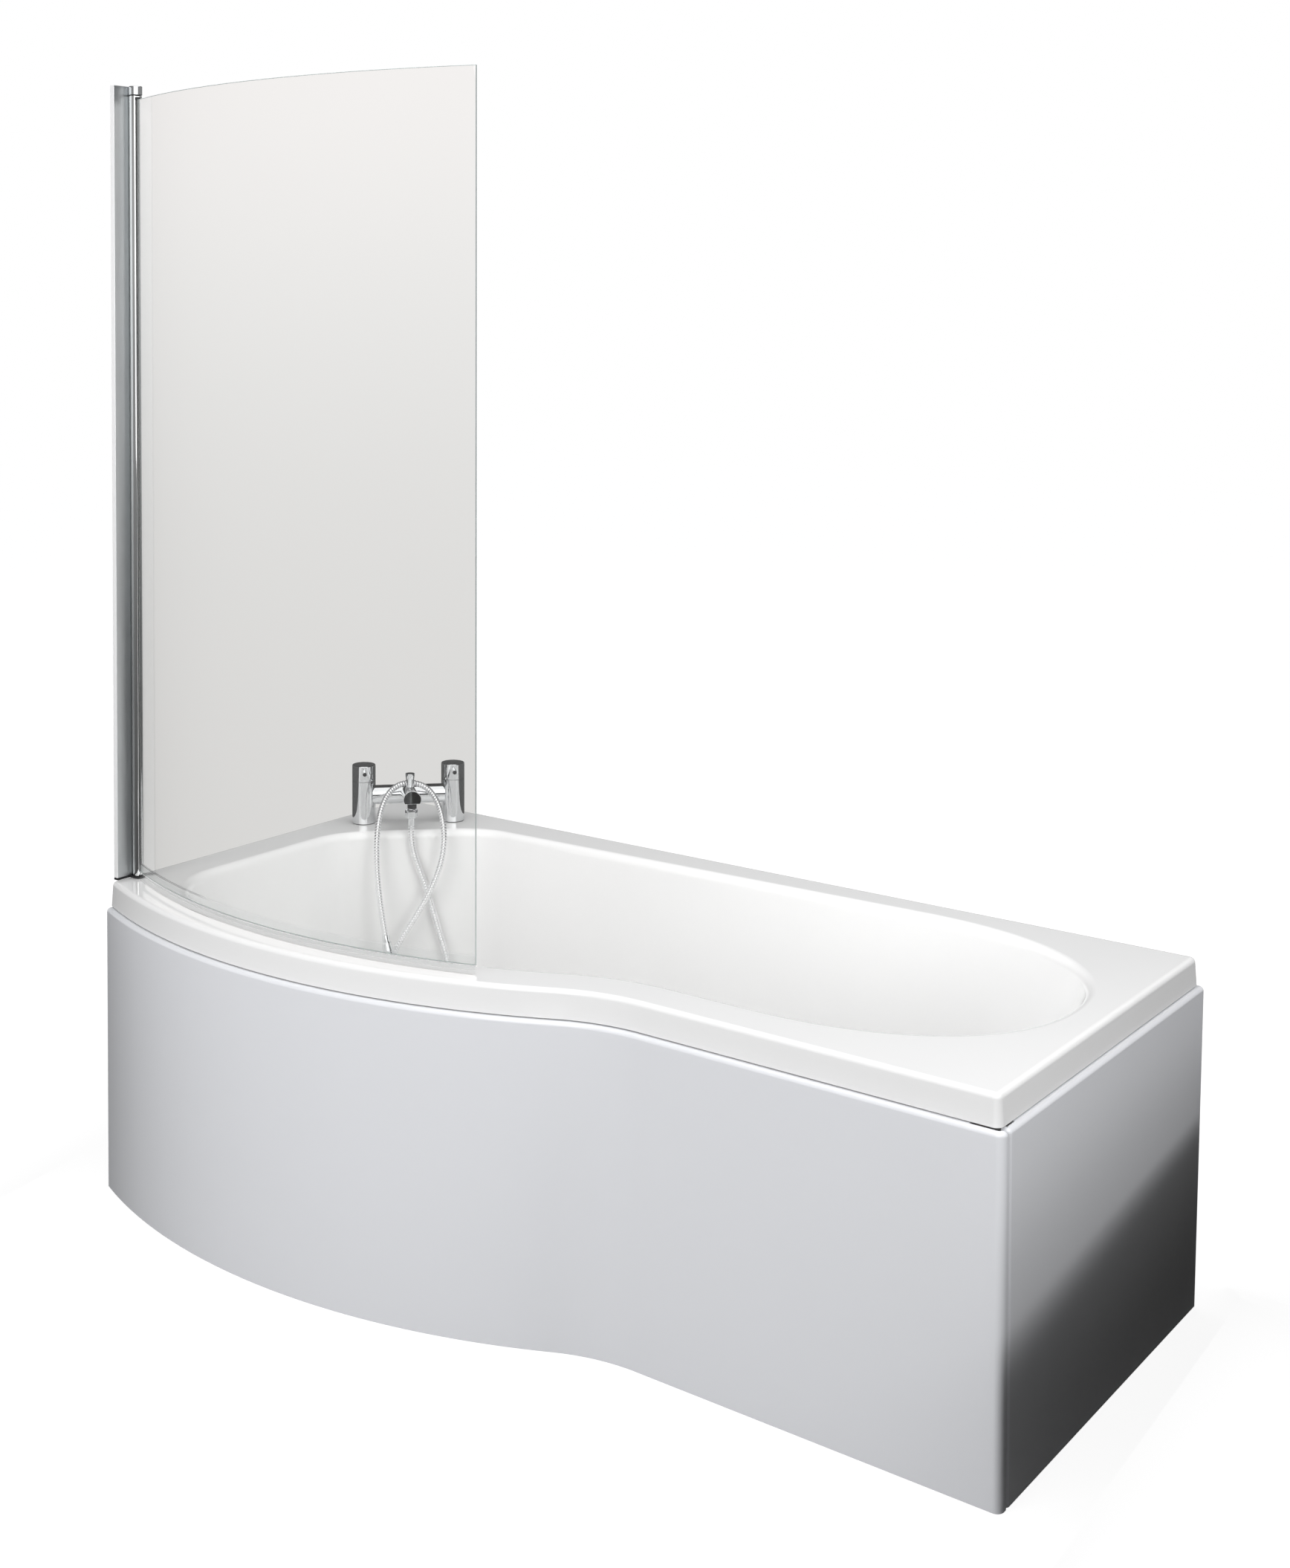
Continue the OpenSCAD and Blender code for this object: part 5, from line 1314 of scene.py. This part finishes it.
# %% Levels by direction
def level_by_height(nodes, steps):
    """A colour from the height of a direction, at steps of (sine of elevation, level)."""
    way = add(nodes, "TexCoord")
    parts = add(nodes, "SeparateXYZ")
    wire(way.outputs["Generated"], parts, "Vector")
    spread = add(nodes, "MapRange", {"From Min": -0.5, "From Max": 0.5})
    wire(parts.outputs["Z"], spread, "Value")
    ramp = add(nodes, "ValToRGB")
    ramp.color_ramp.interpolation = "B_SPLINE"
    while len(ramp.color_ramp.elements) < len(steps):
        ramp.color_ramp.elements.new(0.5)
    for element, (height, colour) in zip(ramp.color_ramp.elements, steps):
        element.position = height + 0.5
        element.color = (*colour, 1)
    wire(spread.outputs["Result"], ramp, "Fac")
    return ramp.outputs["Color"]


def switch(nodes, ray, otherwise, inside):
    """One colour for a kind of ray, another for all the rest."""
    rays = add(nodes, "LightPath")
    mix = colour_mix(nodes)
    wire(rays.outputs[ray], mix, "Factor")
    for value, name in ((otherwise, "A"), (inside, "B")):
        if isinstance(value, tuple):
            dial(mix, {name: (*value, 1)})
        else:
            wire(value, mix, name)
    return mix.outputs["Result"]


# %% World
THROUGH_GLASS = [
    (-0.25, (0.74, 0.73, 0.72)), (-0.10, (0.78, 0.77, 0.76)), (0.02, (0.87, 0.86, 0.85)),
    (0.12, (0.97, 0.94, 0.93)),
]
ROOM_GREYS = [(-0.30, 0.06), (-0.18, 0.11), (-0.04, 0.27), (0.06, 0.42), (0.16, 0.12), (0.24, 0.05)]
IN_METAL = [(height, (grey, grey, grey)) for height, grey in ROOM_GREYS]
ON_BATH = (0.50, 0.50, 0.51)
world = bpy.data.worlds.new("studio room")
scene.world = world
world.use_nodes = True
nodes = world.node_tree.nodes
glossy = switch(nodes, "Is Glossy Ray", ON_BATH, level_by_height(nodes, IN_METAL))
through = switch(nodes, "Is Transmission Ray", glossy, level_by_height(nodes, THROUGH_GLASS))
shown = switch(nodes, "Is Camera Ray", through, (1, 1, 1))
wire(shown, nodes["Background"], "Color")


# %% Floor
def sheet(name, size, unseen_by):
    """A square sheet of the studio with its own material, unseen by some kinds of ray."""
    bpy.ops.object.select_all(action="DESELECT")
    bpy.ops.mesh.primitive_plane_add(size=size)
    obj = bpy.context.active_object
    obj.name = name
    material, nodes = plain_material(name)
    obj.data.materials.append(material)
    for ray in unseen_by:
        setattr(obj, "visible_" + ray, False)
    return obj, nodes


def matt(nodes, level):
    """Makes a sheet's shader an even grey without any shine."""
    shader = nodes["Principled BSDF"]
    dial(shader, {"Base Color": (level, level, level, 1), "Roughness": 1, "Specular IOR Level": 0})
    return shader


FLOOR_SIZE = 30
FLOOR_GREY = 0.2
FLOOR_GLOW = (0.9, 0.9, 0.9)
ground, nodes = sheet("studio_floor", FLOOR_SIZE, ("glossy", "transmission"))
ground.location = (0, 0, -0.0005)
ground_shader = matt(nodes, FLOOR_GREY)
dial(ground_shader, {"Emission Strength": 1})
glow = switch(nodes, "Is Camera Ray", (0, 0, 0), FLOOR_GLOW)
wire(glow, ground_shader, "Emission Color")

# %% [markdown]
# Cards, flags and lamps finish the studio, as on a photographer's set. A card shows in reflections
# alone, where it draws the bright and dark stripes of polished metal. It stays clear until a ray
# has been reflected once, so it shows in the mixer behind the glass and never through the glass
# itself. A flag keeps light off one side, so that the end panel falls off to near black towards
# the floor. The lamps are large and soft, and no reflection shows them. Places are in metres from
# the middle of the bath.


# %% Cards, flags and lamps
def aimed(obj, at, aim):
    """Puts an object at a place and turns its face to another."""
    obj.location = at
    obj.rotation_euler = (Vector(aim) - Vector(at)).to_track_quat("-Z", "Y").to_euler()


def card(name, at, aim, size, level):
    """A board that only reflections show, (width, height) large, from black to brighter than white."""
    obj, nodes = sheet(name, 1, ("camera", "diffuse", "shadow"))
    obj.scale = (*size, 1)
    aimed(obj, at, aim)
    nodes.remove(nodes["Principled BSDF"])
    light = add(nodes, "Emission", {"Strength": level})
    clear_air = add(nodes, "BsdfTransparent")
    rays = add(nodes, "LightPath")
    either = add(nodes, "MixShader")
    wire(rays.outputs["Glossy Depth"], either, "Fac")
    wire(clear_air.outputs["BSDF"], either, 1)
    wire(light.outputs["Emission"], either, 2)
    wire(either.outputs["Shader"], nodes["Material Output"], "Surface")


def lamp(name, at, aim, size, power):
    """A soft square lamp, which lights but shows in no reflection."""
    data = bpy.data.lights.new(name, "AREA")
    data.size = size
    data.energy = power
    obj = bpy.data.objects.new(name, data)
    aimed(obj, at, aim)
    obj.visible_glossy = False
    obj.visible_transmission = False
    scene.collection.objects.link(obj)


def flag(name, left, right):
    """A dark screen between two uprights, given by their tops, that stops light and is never seen."""
    obj, nodes = sheet(name, 1, ("camera", "transmission", "glossy"))
    corners = [(*left[:2], 0), (*right[:2], 0), left, right]
    for vert, at in zip(obj.data.vertices, corners):
        vert.co = at
    matt(nodes, 0)


card("soft_box_front", (1.1, -1.5, 2.2), (-0.7, 0.3, 0.6), (3.2, 2.6), 1.6)
card("soft_box_above", (-0.1, -0.3, 3.1), (-0.1, -0.3, 0.0), (2.0, 2.0), 1.2)
card("soft_box_camera", (2.5, -3.3, 2.7), (-0.83, -0.3, 2.3), (2.6, 2.2), 1.3)
card("dark_table", (1.35, -1.60, 0.70), (-0.65, 0.24, 0.63), (2.6, 0.80), 0.0)
card("floor_sheet", (1.3, -2.2, 0.01), (1.3, -2.2, -1.0), (1.4, 1.4), 0.6)
flag("flag_end", (1.45, 0.55, 0.58), (1.45, -0.75, 0.56))
flag("flag_foot", (0.905, 0.50, 0.34), (0.96, -0.50, 0.28))
flag("flag_back", (0.87, 0.52, 0.40), (1.45, 0.55, 0.58))
flag("flag_left", (-1.05, 0.0, 0.62), (-0.93, -0.72, 0.60))
lamp("key", (-0.3, -3.6, 1.7), (-0.1, -0.3, 0.4), size=2.2, power=71)
lamp("top", (0.3, 0.1, 3.2), (0, 0, 0.4), size=3.2, power=61)
lamp("end", (2.2, -0.4, 1.2), (0.85, 0.0, 0.4), size=1.0, power=13)
